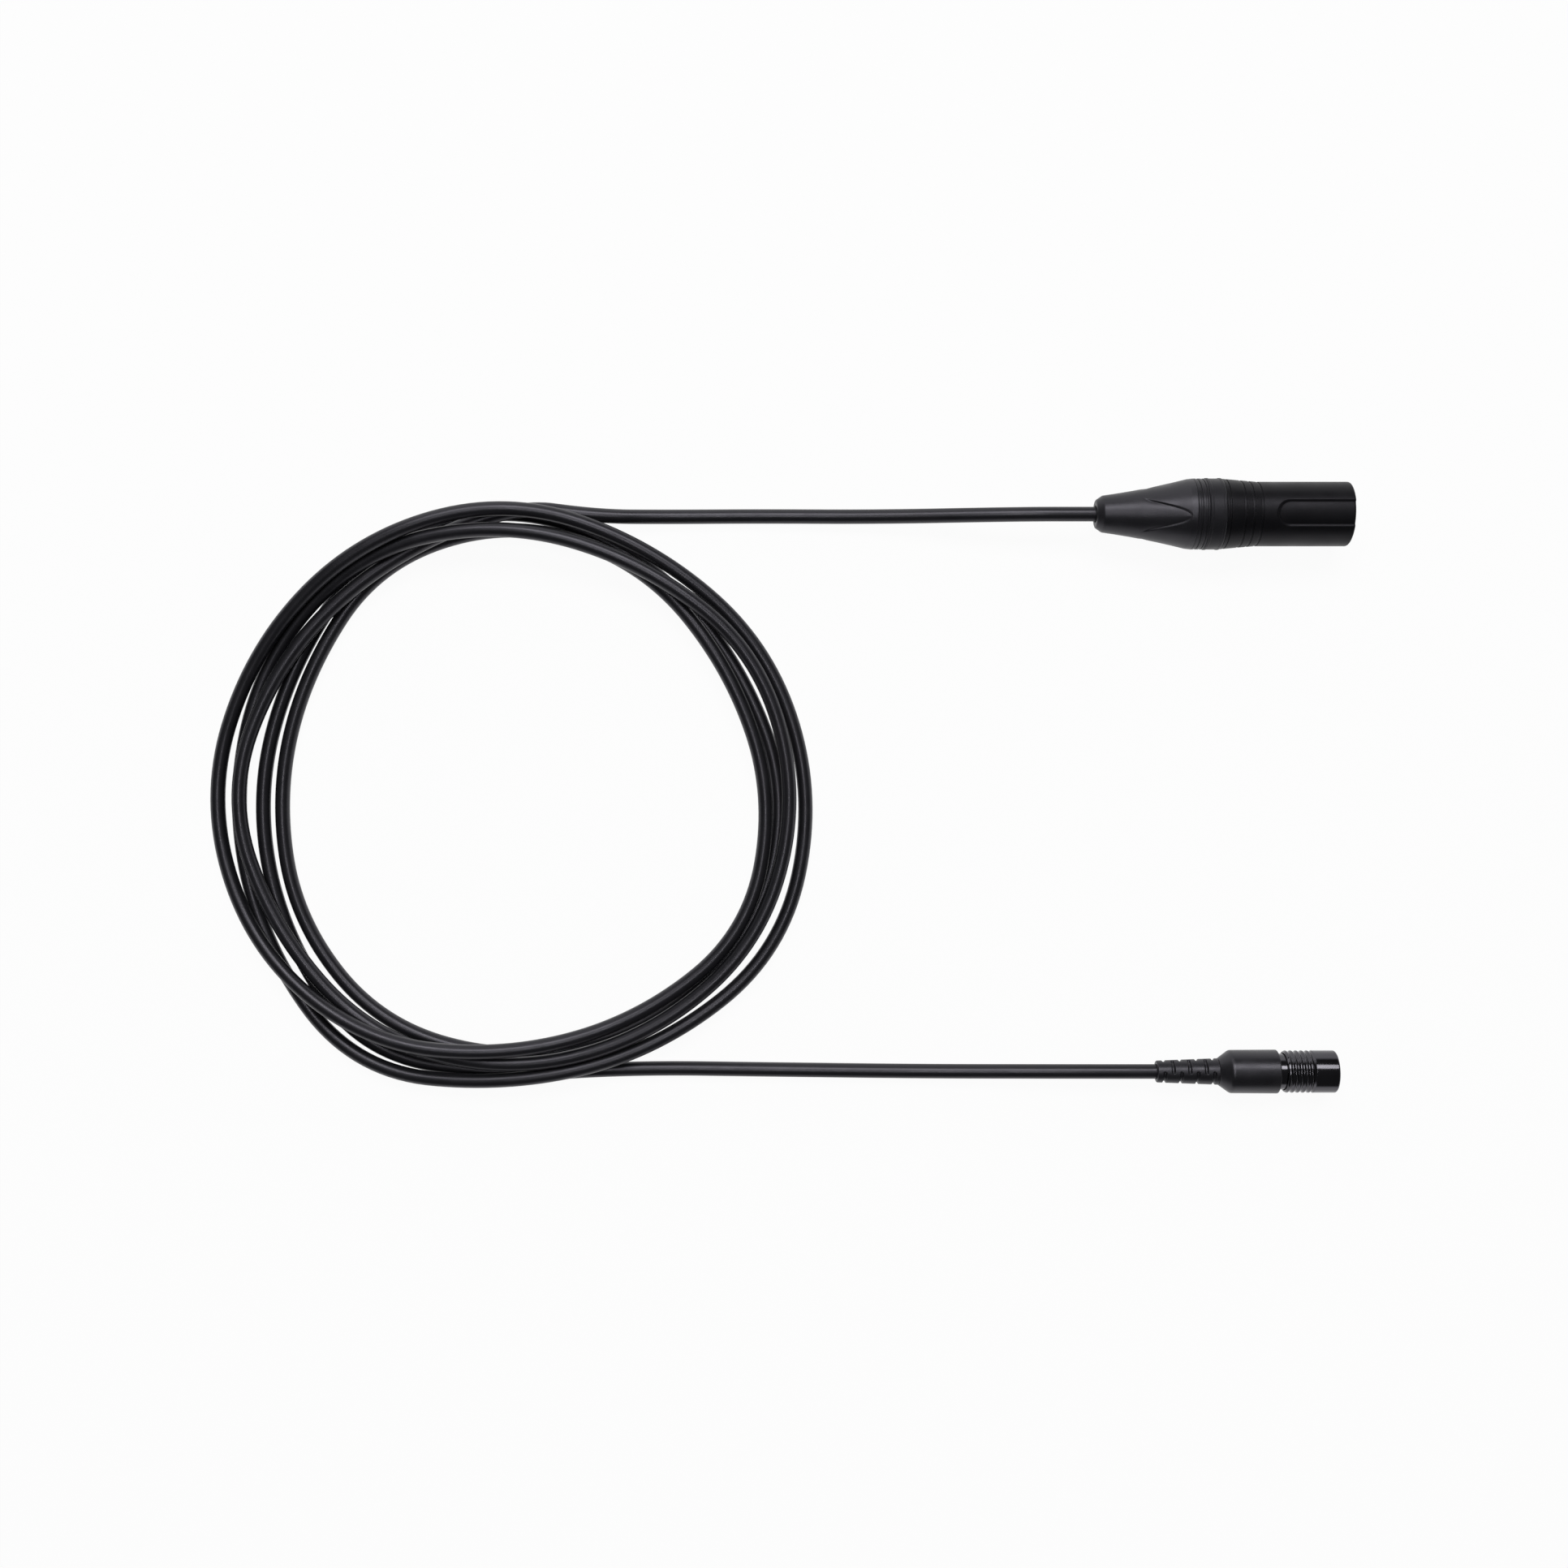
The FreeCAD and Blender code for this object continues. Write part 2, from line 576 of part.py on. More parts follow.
def tongue_tool():
    """Grooves that draw the tongues, cut to one depth under the boot's cone."""
    waist = size(WAIST)
    rear = waist - size("Sizes.tongue_length")
    front_radius = size(WAIST_RADIUS)
    small = size(BOOT_REAR)
    start = size("Sizes.boot_tip")
    depth = size("Sizes.tongue_depth")
    width = size("Sizes.tongue_groove")
    slope = (front_radius - small) / (waist - start)
    root_radius = small + slope * (rear - start)
    half_root = root_radius * math.sin(math.radians(size("Sizes.tongue_half_angle")))
    # each side of a tongue is an S of two arcs, hollow behind and crowned at the tip
    knee_share = size("Sizes.tongue_knee_share")
    hollow = size("Sizes.tongue_hollow")
    crown_back = size("Sizes.tongue_crown")
    middle = Vector((rear + waist) / 2, half_root * knee_share, 0)
    height = 2 * front_radius
    arms = []
    for side in (1, -1):
        for inner in (0, 1):
            drop = width * inner
            root = Vector(rear, side * (half_root - drop), 0)
            knee = Vector(middle.x, side * (middle.y - drop), 0)
            tip = Vector(waist - drop, 0, 0)
            bow = Vector((rear + middle.x) / 2, side * ((half_root + middle.y) / 2 - hollow - drop), 0)
            crown = Vector(tip.x - crown_back, side * (middle.y * knee_share - drop), 0)
            arms.append([root, bow, knee, crown, tip])
    cutters = []
    for outer, inner in ((arms[0], arms[1]), (arms[2], arms[3])):
        edges = [
            Part.Arc(outer[0], outer[1], outer[2]).toShape(),
            Part.Arc(outer[2], outer[3], outer[4]).toShape(),
            Part.LineSegment(outer[4], inner[4]).toShape(),
            Part.Arc(inner[4], inner[3], inner[2]).toShape(),
            Part.Arc(inner[2], inner[1], inner[0]).toShape(),
            Part.LineSegment(inner[0], outer[0]).toShape(),
        ]
        cutters.append(Part.Face(Part.Wire(edges)).extrude(Vector(0, 0, height)))
    block = cutters[0].fuse(cutters[1])
    # the floor is the boot's own hollow cone, set in by the groove's depth
    hollow_rear = Vector(start, small - depth, 0)
    hollow_front = Vector(waist, front_radius - depth, 0)
    stop = hollow_front + ALONG * CUTTER_REACH
    side_line = arc_between(hollow_rear, hollow_front, size("Sizes.boot_hollow_radius"), -1).toShape()
    ends = Part.makePolygon([hollow_front, stop, Vector(stop.x, 0, 0), Vector(start, 0, 0), hollow_rear])
    floor = Part.Face(Part.Wire([side_line] + ends.Edges)).revolve(ORIGIN, ALONG, 360)
    one = block.cut(floor)
    copies = []
    count = int(size("Sizes.tongue_count"))
    for number in range(count):
        copy = one.copy()
        copy.rotate(ORIGIN, ALONG, -size("Sizes.tongue_turn") + number * 360.0 / count)
        copies.append(copy)
    return Part.makeCompound(copies)


tongues = doc.addObject("Part::Feature", "tongues")
tongues.Shape = tongue_tool()
place(tongues, "xlr")
cut_from(skin_body, tongues, "skin", "xlr_boot_skin")

# Chuck: a slit collet in the neck, which the bushing's cone closes on the cord
chuck_body = new_body("chuck_blank", "xlr")
CLAMP_END = CHUCK_REAR + " + Sizes.chuck_clamp_length"
CHUCK_ROOM = CHUCK_RADIUS + " - Sizes.chuck_wall"
turn(chuck_body, "chuck_turning", [
    (CHUCK_REAR, CORD_RADIUS),
    (CLAMP_END, CORD_RADIUS),
    (CLAMP_END + " + Sizes.chuck_room_taper", CHUCK_ROOM),
    (SEAT, CHUCK_ROOM),
    (SEAT, CHUCK_RADIUS),
    (NECK_REAR + " + Sizes.turning_gap", CHUCK_RADIUS),
    (NECK_REAR + " + Sizes.turning_gap", CHUCK_WAIST),
    (CHUCK_REAR, CHUCK_TAIL),
])


def slits(rear, length, width, reach, count, name, plug):
    """Flat cutters through the axis, for a collet's slits."""
    blades = []
    for number in range(count // 2):
        blade = Part.makeBox(length + CUTTER_REACH, width, 2 * reach,
                             Vector(rear - CUTTER_REACH, -width / 2, -reach))
        blade.rotate(ORIGIN, ALONG, number * 360.0 / count)
        blades.append(blade)
    tool = blades[0]
    for blade in blades[1:]:
        tool = tool.fuse(blade)
    feature = doc.addObject("Part::Feature", name)
    feature.Shape = tool
    return place(feature, plug)


chuck_slits = slits(size(CHUCK_REAR), size("Sizes.chuck_slit_length"), size("Sizes.chuck_slit"),
                    size("Sizes.neck_diameter"), int(size("Sizes.chuck_slits")), "chuck_slits", "xlr")
cut_from(chuck_body, chuck_slits, "chuck", "xlr_chuck")

# Cord guard of the small plug: soft tapered sleeve, with part-turn slots that let it bend
guard_body = new_body("guard_blank", "mini")
GUARD_END = "(Sizes.guard_length + Sizes.guard_tail_length)"
GUARD_REAR = "(%s + Sizes.guard_rear_wall)" % CORD_RADIUS
GUARD_FRONT = "(%s + Sizes.guard_front_wall)" % CORD_RADIUS
GUARD_TAIL = "(%s + Sizes.guard_tail_wall)" % CORD_RADIUS
GUARD_FLANGE = "(%s + Sizes.guard_flange_wall)" % CORD_RADIUS
FLANGE_REAR = "(%s - Sizes.guard_flange)" % GUARD_END
turn(guard_body, "guard_moulding", [
    ("0", CORD_RADIUS),
    (GUARD_END, CORD_RADIUS),
    (GUARD_END, GUARD_FLANGE),
    (FLANGE_REAR, GUARD_FLANGE),
    (FLANGE_REAR, GUARD_TAIL),
    ("Sizes.guard_length", GUARD_TAIL),
    ("Sizes.guard_length", GUARD_FRONT),
    ("0", GUARD_REAR),
])
round_edges(guard_body, "guard_rounding", "Sizes.guard_round", [("0", GUARD_REAR)])


def guard_slots():
    """Long slots most of the way round and short ones between them, as many as the guard holds."""
    length = size("Sizes.guard_length")
    width = size("Sizes.guard_slot_width")
    depth = size("Sizes.guard_slot_depth")
    pitch = size("Sizes.guard_slot_pitch")
    facing = 90 - size("Sizes.guard_slot_turn")
    tool = None
    for sweep, shift, towards in ((size("Sizes.guard_long_slot"), 0.0, facing + 180),
                                  (size("Sizes.guard_short_slot"), pitch / 2, facing)):
        first = size("Sizes.guard_slot_first") + shift
        count = int((length - first - width) / pitch) + 1
        for step in range(count):
            middle = first + step * pitch
            surface = size(GUARD_REAR) + (size(GUARD_FRONT) - size(GUARD_REAR)) * middle / length
            rear = middle - width / 2
            floor = surface - depth
            reach = surface + CUTTER_REACH
            corners = [Vector(rear, floor, 0), Vector(rear + width, floor, 0),
                       Vector(rear + width, reach, 0), Vector(rear, reach, 0), Vector(rear, floor, 0)]
            section = Part.Face(Part.makePolygon(corners))
            section.rotate(ORIGIN, ALONG, towards - sweep / 2)
            slot = section.revolve(ORIGIN, ALONG, sweep)
            tool = slot if tool is None else tool.fuse(slot)
    return tool


guard_cutter = doc.addObject("Part::Feature", "guard_cutter")
guard_cutter.Shape = guard_slots()
place(guard_cutter, "mini")
cut_from(guard_body, guard_cutter, "guard", "mini_cord_guard")

# Body of the small plug: moulded shell with a flared rear end
CLAMP_REAR = "(%s + Sizes.mini_clamp_gap)" % GUARD_END
CLAMP_FRONT = "(%s + Sizes.mini_clamp_length)" % CLAMP_REAR
BODY_FRONT = "(%s + Sizes.mini_thread_length)" % CLAMP_FRONT
BODY_BORE = "(%s - Sizes.mini_body_wall)" % MINI_RADIUS
THREAD_RADIUS = "(%s - Sizes.seat_gap)" % BODY_BORE
mini_body = new_body("mini_shell", "mini")
turn(mini_body, "mini_moulding", [
    ("Sizes.guard_length", GUARD_TAIL),
    (FLANGE_REAR, GUARD_TAIL),
    (FLANGE_REAR, GUARD_FLANGE + " + Sizes.seat_gap"),
    (GUARD_END, GUARD_FLANGE + " + Sizes.seat_gap"),
    (GUARD_END, BODY_BORE),
    (BODY_FRONT, BODY_BORE),
    (BODY_FRONT, MINI_RADIUS),
    ("Sizes.guard_length + Sizes.mini_flare", MINI_RADIUS + " - Sizes.mini_body_taper"),
    ("Sizes.guard_length", GUARD_FRONT),
])
round_edges(mini_body, "mini_rounding", "Sizes.mini_body_edge", [(BODY_FRONT, MINI_RADIUS)])
keep(mini_body, "mini_body")

# Metal barrel of the small plug: screwed into the body, its neck shows between body and sleeve
barrel_body = new_body("mini_tube", "mini")
TUBE_RADIUS = "(Sizes.mini_barrel_diameter / 2)"
TUBE_BORE = "(%s - Sizes.mini_barrel_wall)" % TUBE_RADIUS
SMALL_NECK_RADIUS = "(%s + Sizes.mini_neck_step)" % TUBE_RADIUS
SMALL_NECK_FRONT = "(%s + Sizes.mini_neck_length)" % BODY_FRONT
LOCK_REAR = "(%s + Sizes.lock_travel + Sizes.lock_stop_gap)" % BODY_FRONT
LOCK_FRONT = "(%s + Sizes.lock_length)" % LOCK_REAR
LAND_REAR = "(%s + Sizes.lock_land_start)" % LOCK_REAR
LAND_FRONT = "(%s + Sizes.lock_land)" % LAND_REAR
CLIP_REAR = "(%s + Sizes.seat_gap)" % LAND_FRONT
CLIP_FRONT = "(%s + Sizes.clip_width)" % CLIP_REAR
CLIP_FLOOR = "(%s - Sizes.clip_groove_depth)" % TUBE_RADIUS
TUBE_FRONT = "(%s - Sizes.mini_barrel_setback)" % LOCK_FRONT
turn(barrel_body, "mini_barrel_turning", [
    (CLAMP_FRONT, TUBE_BORE),
    (TUBE_FRONT, TUBE_BORE),
    (TUBE_FRONT, TUBE_RADIUS),
    (SMALL_NECK_FRONT, TUBE_RADIUS),
    (SMALL_NECK_FRONT, SMALL_NECK_RADIUS),
    (BODY_FRONT, SMALL_NECK_RADIUS),
    (BODY_FRONT, THREAD_RADIUS),
    (CLAMP_FRONT, THREAD_RADIUS),
])
ring_groove(barrel_body, "clip_seat", CLIP_REAR, "Sizes.clip_width", TUBE_RADIUS, CLIP_FLOOR)
keep(barrel_body, "mini_barrel")

# Retaining clip: open ring in the barrel's groove, which the sleeve's land meets at rest
clip_body = new_body("clip", "mini")
turn(clip_body, "clip_strip", [
    (CLIP_REAR, CLIP_FLOOR),
    (CLIP_FRONT, CLIP_FLOOR),
    (CLIP_FRONT, TUBE_RADIUS + " + Sizes.clip_stand"),
    (CLIP_REAR, TUBE_RADIUS + " + Sizes.clip_stand"),
], opening="Sizes.clip_opening")
keep(clip_body, "mini_retaining_clip")

# Lock sleeve: turned sleeve with finger ribs, drawn back against its spring to release
sleeve_body = new_body("lock_sleeve", "mini")
SLEEVE_BORE = "(%s + Sizes.lock_clearance)" % SMALL_NECK_RADIUS
LAND_BORE = "(%s + Sizes.lock_clearance)" % TUBE_RADIUS
SLEEVE_RADIUS = "(%s + Sizes.lock_wall)" % SLEEVE_BORE
SLEEVE_MOUTH = "(%s - Sizes.lock_mouth_wall)" % SLEEVE_RADIUS
turn(sleeve_body, "sleeve_turning", [
    (LOCK_REAR, SLEEVE_BORE),
    (LAND_REAR, SLEEVE_BORE),
    (LAND_REAR, LAND_BORE),
    (LAND_FRONT, LAND_BORE),
    (LAND_FRONT, SLEEVE_MOUTH),
    (LOCK_FRONT, SLEEVE_MOUTH),
    (LOCK_FRONT, SLEEVE_RADIUS + " - Sizes.lock_chamfer"),
    (LOCK_FRONT + " - Sizes.lock_chamfer", SLEEVE_RADIUS),
    (LOCK_REAR + " + Sizes.lock_shoulder", SLEEVE_RADIUS),
    (LOCK_REAR, SLEEVE_RADIUS + " - Sizes.lock_shoulder_drop"),
])
FIRST_RIB = LOCK_REAR + " + Sizes.rib_start"
RIB_TOP = SLEEVE_RADIUS + " + Sizes.rib_groove_depth"
RIB_FLOOR = SLEEVE_RADIUS + " - Sizes.rib_groove_depth"
rib_groove = groove(sleeve_body, "rib_groove", [
    (FIRST_RIB + " - Sizes.rib_groove_width / 2", RIB_TOP),
    (FIRST_RIB + " - Sizes.rib_groove_width / 6", RIB_FLOOR),
    (FIRST_RIB + " + Sizes.rib_groove_width / 6", RIB_FLOOR),
    (FIRST_RIB + " + Sizes.rib_groove_width / 2", RIB_TOP),
])
repeat_along(sleeve_body, "rib_grooves", rib_groove, "Sizes.rib_pitch", "Sizes.rib_count + 1")
keep(sleeve_body, "mini_lock_sleeve")

# Insert of the small plug, with its four contacts
MINI_PINS = [size("Sizes.mini_pin_turn + 360 / Sizes.mini_pin_count * %d" % step)
             for step in range(int(size("Sizes.mini_pin_count")))]
SMALL_INSERT_FRONT = "(%s - Sizes.mini_mouth_depth)" % TUBE_FRONT
SMALL_INSERT_REAR = "(%s - Sizes.mini_insert_length)" % SMALL_INSERT_FRONT
SMALL_PIN_REAR = "(%s - Sizes.mini_pin_tail)" % SMALL_INSERT_REAR
mini_insert = new_body("small_insert", "mini")
round_with_holes(mini_insert, "small_insert_disc", SMALL_INSERT_REAR, "Sizes.mini_insert_length",
                 TUBE_BORE + " - Sizes.seat_gap",
                 "Sizes.mini_pin_diameter / 2", "Sizes.mini_pin_circle", MINI_PINS)
keep(mini_insert, "mini_insert")


def pin_group():
    """Four round contacts with bevelled tips, as one group of separate solids."""
    rear = size(SMALL_PIN_REAR)
    front = size(SMALL_INSERT_FRONT + " + Sizes.mini_pin_reach")
    radius = size("Sizes.mini_pin_diameter / 2")
    reach = size("Sizes.mini_pin_circle / 2")
    pins = []
    for angle in MINI_PINS:
        centre = Vector(0, reach * math.sin(math.radians(angle)), reach * math.cos(math.radians(angle)))
        shaft = Part.makeCylinder(radius, front - radius - rear, centre + ALONG * rear, ALONG)
        tip = Part.makeCone(radius, radius / 2, radius, centre + ALONG * (front - radius), ALONG)
        pins.append(shaft.fuse(tip).removeSplitter())
    return Part.makeCompound(pins)


contacts = doc.addObject("Part::Feature", "contacts")
contacts.Shape = pin_group()
keep(place(contacts, "mini"), "mini_contacts")

# Clamp of the small plug: slit collar on the cord, against the barrel's rear end
clamp_blank = new_body("clamp_blank", "mini")
COLLAR_RADIUS = CORD_RADIUS + " + Sizes.mini_clamp_wall"
RIM_REAR = "(%s - Sizes.mini_clamp_rim)" % CLAMP_FRONT
turn(clamp_blank, "clamp_turning", [
    (CLAMP_REAR, CORD_RADIUS),
    (CLAMP_FRONT, CORD_RADIUS),
    (CLAMP_FRONT, THREAD_RADIUS),
    (RIM_REAR, THREAD_RADIUS),
    (RIM_REAR, COLLAR_RADIUS),
    (CLAMP_REAR, COLLAR_RADIUS),
])
clamp_slits = slits(size(CLAMP_REAR), size("%s - %s - Sizes.mini_clamp_web" % (RIM_REAR, CLAMP_REAR)),
                    size("Sizes.mini_clamp_slit"), size("Sizes.mini_body_diameter"), 2, "clamp_slits", "mini")
cut_from(clamp_blank, clamp_slits, "clamp", "mini_clamp")

# Ferrule: crimped tube over the braid, just in front of the clamp, inside the barrel
ferrule_body = new_body("ferrule", "mini")
turn(ferrule_body, "ferrule_tube", [
    (CLAMP_FRONT, CORD_RADIUS),
    (CLAMP_FRONT + " + Sizes.ferrule_length", CORD_RADIUS),
    (CLAMP_FRONT + " + Sizes.ferrule_length", CORD_RADIUS + " + Sizes.ferrule_wall"),
    (CLAMP_FRONT, CORD_RADIUS + " + Sizes.ferrule_wall"),
])
keep(ferrule_body, "mini_ferrule")


# Everything that is a round wire on a path

def tube(path, radius):
    """Round tube along a smooth path, ended square."""
    start = path.Edges[0].valueAt(path.Edges[0].FirstParameter)
    heading = path.Edges[0].tangentAt(path.Edges[0].FirstParameter)
    ring = Part.Wire(Part.Circle(start, heading, radius).toShape())
    return path.makePipeShell([ring], True, False)


def run_path(points, share=0.45):
    """Straight runs through the points, joined by tangent arcs, with the arcs' radii."""
    edges = []
    radii = []
    at = points[0]
    for before, corner, after in zip(points, points[1:], points[2:]):
        back = before - corner
        ahead = after - corner
        half_turn = (math.pi - back.getAngle(ahead)) / 2
        reach = share * min(back.Length, ahead.Length)
        radius = reach / math.tan(half_turn)
        back = back.normalize()
        ahead = ahead.normalize()
        entry = corner + back * reach
        leave = corner + ahead * reach
        inward = (back + ahead).normalize()
        crown = corner + inward * (radius / math.cos(half_turn) - radius)
        edges.append(Part.LineSegment(at, entry).toShape())
        edges.append(Part.Arc(entry, crown, leave).toShape())
        radii.append(radius)
        at = leave
    edges.append(Part.LineSegment(at, points[-1]).toShape())
    return Part.Wire(edges), radii


STRAIGHT_SHARE = 0.3  # part of a wire's span that runs straight at each of its ends


def spread(along, reach, angles):
    """Places round the plug's axis at one reach from it; angles run from the top."""
    turns = [math.radians(angle) for angle in angles]
    return [Vector(along, reach * math.sin(turn_here), reach * math.cos(turn_here)) for turn_here in turns]


def wires(name, plug, rear, front, circle, diameter, angles):
    """Insulated wires, side by side at the jacket's end, that fan out to the contacts."""
    beside = size("%s / (2 * sin(45 deg)) + Sizes.seat_gap" % diameter)
    solids = []
    for start, end in zip(spread(size(rear), beside, angles), spread(size(front), size(circle) / 2, angles)):
        straight = ALONG * (end.x - start.x) * STRAIGHT_SHARE
        path, _ = run_path([start, start + straight, end - straight, end])
        solids.append(tube(path, size(diameter) / 2))
    feature = doc.addObject("Part::Feature", name)
    feature.Shape = Part.makeCompound(solids)
    return place(feature, plug)


JACKET_END = NECK_REAR + " + Sizes.jacket_reach"
keep(wires("long_plug_wires", "xlr", JACKET_END, PIN_REAR + " + Sizes.cup_depth",
           "Sizes.pin_circle", "Sizes.wire_diameter", PIN_ANGLES), "xlr_wires")
keep(wires("small_plug_wires", "mini", CLAMP_FRONT, SMALL_PIN_REAR,
           "Sizes.mini_pin_circle", "Sizes.mini_wire_diameter", MINI_PINS), "mini_wires")

# Spring of the lock sleeve: between the barrel's step and the sleeve's land
spring_rear = size(SMALL_NECK_FRONT + " + Sizes.spring_wire / 2 + Sizes.spring_seat_gap")
spring_front = size(LAND_REAR + " - Sizes.spring_wire / 2 - Sizes.spring_seat_gap")
spring_turns = size("Sizes.spring_turns")
spring_radius = size("(%s + %s) / 2" % (TUBE_RADIUS, SMALL_NECK_RADIUS))
spring_length = spring_front - spring_rear
helix = Part.makeHelix(spring_length / spring_turns, spring_length, spring_radius)
helix.rotate(ORIGIN, Vector(0, 1, 0), 90)
helix.translate(ALONG * spring_rear)
helix_start = helix.Edges[0].valueAt(helix.Edges[0].FirstParameter)
helix_heading = helix.Edges[0].tangentAt(helix.Edges[0].FirstParameter)
spring_ring = Part.Wire(Part.Circle(helix_start, helix_heading, size("Sizes.spring_wire / 2")).toShape())
spring = doc.addObject("Part::Feature", "lock_spring")
spring.Shape = Part.Wire(helix.Edges).makePipeShell([spring_ring], True, True)
keep(place(spring, "mini"), "mini_lock_spring")


# The coil: four and a half loose turns, the strands lying beside and over each other

CORD = size("Sizes.cord_diameter")
START_REACH = size("Sizes.coil_start_reach")
START_HEIGHT = size("Sizes.coil_start_height")
END_REACH = size("Sizes.coil_end_reach")
# The coil starts in line with the long plug
COIL_MIDDLE = Vector(size("Sizes.coil_middle_x"), XLR.y - START_REACH, 0)
QUARTER = 90.0
# Reach from the coil's middle and height of the cord's axis at each quarter turn.
# The first column is at the top of the coil, and the turns run anticlockwise seen from above.
LOOPS = [
    [(START_REACH, START_HEIGHT), (82.4, 11.4), (78.6, 7.3), (84.4, 8.4)],
    [(76.0, 11.5), (82.0, 4.1), (87.8, 7.7), (87.5, 2.4)],
    [(84.7, 13.6), (90.0, 7.9), (78.9, 13.1), (75.6, 5.3)],
    [(77.8, 5.0), (69.5, 2.7), (78.4, 2.3), (79.4, 2.2)],
    [(81.9, 2.2), (74.6, 2.2), (END_REACH, CORD / 2)],
]
coil_start = COIL_MIDDLE + Vector(0, START_REACH, START_HEIGHT)
coil_end = COIL_MIDDLE + Vector(0, -END_REACH, CORD / 2)


def stations():
    """Places and headings of the coil's axis at every quarter turn."""
    reaches = [reach for loop in LOOPS for reach, height in loop]
    heights = [height for loop in LOOPS for reach, height in loop]
    step = math.radians(QUARTER)
    found = []
    for i, (reach, height) in enumerate(zip(reaches, heights)):
        angle = math.radians(90 + QUARTER * i)
        outward = Vector(math.cos(angle), math.sin(angle), 0)
        round_way = Vector(-math.sin(angle), math.cos(angle), 0)
        fan = 0.0
        climb = 0.0
        if 0 < i < len(reaches) - 1:
            fan = (reaches[i + 1] - reaches[i - 1]) / (2 * step)
            climb = (heights[i + 1] - heights[i - 1]) / (2 * step)
        heading = outward * fan + round_way * reach + Vector(0, 0, climb)
        place_here = COIL_MIDDLE + outward * reach + Vector(0, 0, height)
        found.append((place_here, heading.normalize()))
    return found


def tangent_arc(start, corner, end):
    """Arc that touches start-corner at start and corner-end at end, and its radius."""
    back = start - corner
    ahead = end - corner
    half_turn = (math.pi - back.getAngle(ahead)) / 2
    radius = back.Length / math.tan(half_turn)
    chord_middle = (start + end) / 2
    outward = (corner - chord_middle).normalize()
    sag = radius * (1 - math.cos(half_turn))
    return Part.Arc(start, chord_middle + outward * sag, end), radius


def biarc(start, heading, end, leaving):
    """Two arcs that join two places and headings smoothly."""
    span = end - start
    both = heading + leaving
    bend = 2 * (1 - heading.dot(leaving))
    along = span.dot(both)
    reach = (-along + math.sqrt(along ** 2 + bend * span.dot(span))) / bend
    first = start + heading * reach
    second = end - leaving * reach
    middle = (first + second) / 2
    return tangent_arc(start, first, middle), tangent_arc(middle, second, end)


def coil_path():
    """The coil's axis: a straight end, the quarter turns, and a straight end."""
    places = stations()
    entry = coil_start + ALONG * CORD
    leave = coil_end + ALONG * CORD
    edges = [Part.LineSegment(entry, coil_start).toShape()]
    radii = []
    for (start, heading), (end, leaving) in zip(places, places[1:]):
        for arc, radius in biarc(start, heading, end, leaving):
            edges.append(arc.toShape())
            radii.append(radius)
    edges.append(Part.LineSegment(coil_end, leave).toShape())
    return Part.Wire(edges), radii, entry, leave


def points_along(path, step):
    """Points of a path with their distance from its start."""
    found = []
    gone = 0.0
    for edge in path.Edges:
        count = max(2, int(edge.Length / step))
        for i in range(count):
            at = edge.FirstParameter + (edge.LastParameter - edge.FirstParameter) * i / count
            found.append((gone + edge.Length * i / count, edge.valueAt(at)))
        gone += edge.Length
    return found


def least_distance(first, second, apart=0.0):
    """Least distance between two lists of points, skipping neighbours along one path."""
    least = 1e9
    cell = 8.0
    grid = {}
    for gone, point in second:
        key = (int(point.x // cell), int(point.y // cell))
        grid.setdefault(key, []).append((gone, point))
    for gone, point in first:
        cx = int(point.x // cell)
        cy = int(point.y // cell)
        for dx in (-1, 0, 1):
            for dy in (-1, 0, 1):
                for other, place_there in grid.get((cx + dx, cy + dy), ()):
                    if apart and abs(other - gone) < apart:
                        continue
                    least = min(least, (point - place_there).Length)
    return least


def check_volume(label, solid, path):
    """Compare a tube's volume with its section times its length."""
    expected = math.pi * CORD ** 2 / 4 * path.Length
    print("%s: length %.1f mm, volume %.4f of section times length, lowest %.3f mm"
          % (label, path.Length, solid.Volume / expected, solid.optimalBoundingBox().ZMin))


coil_axis, coil_radii, lead_meets_coil, coil_meets_lead = coil_path()
coil = doc.addObject("Part::Feature", "coil")
coil.Shape = tube(coil_axis, CORD / 2)
keep(coil, "cord_coil")
POINT_STEP = 1.0  # between the points on which gaps are measured
HALF_TURN = 200.0  # points nearer than this along the coil belong to one strand
END_STRETCH = 15.0  # of the coil, where a free stretch meets it
coil_points = points_along(coil_axis, POINT_STEP)
least_turn_gap = least_distance(coil_points, coil_points, HALF_TURN) - CORD
print("coil radii %.1f to %.1f mm" % (min(coil_radii), max(coil_radii)))
print("coil's least gap to itself %.2f mm" % least_turn_gap)
if least_turn_gap < size("Sizes.cord_least_gap"):
    raise ValueError("the coil's turns come closer than the least gap")
check_volume("cord_coil", coil.Shape, coil_axis)

# Free stretch of the long plug's cord: out of the boot, down to the plane, and up on to the coil
long_lead_points = [
    Vector(XLR.x + size(JACKET_END), XLR.y, XLR.z),
    Vector(-64.0, XLR.y, XLR.z),
    Vector(-102.0, XLR.y + 0.2, 3.6),
    Vector(-136.0, XLR.y + 0.6, CORD / 2),
    Vector(-166.0, XLR.y + 0.4, CORD / 2 + 0.1),
    Vector(-184.0, XLR.y + 0.2, 5.5),
    Vector(-198.0, XLR.y, lead_meets_coil.z),
    lead_meets_coil,
]
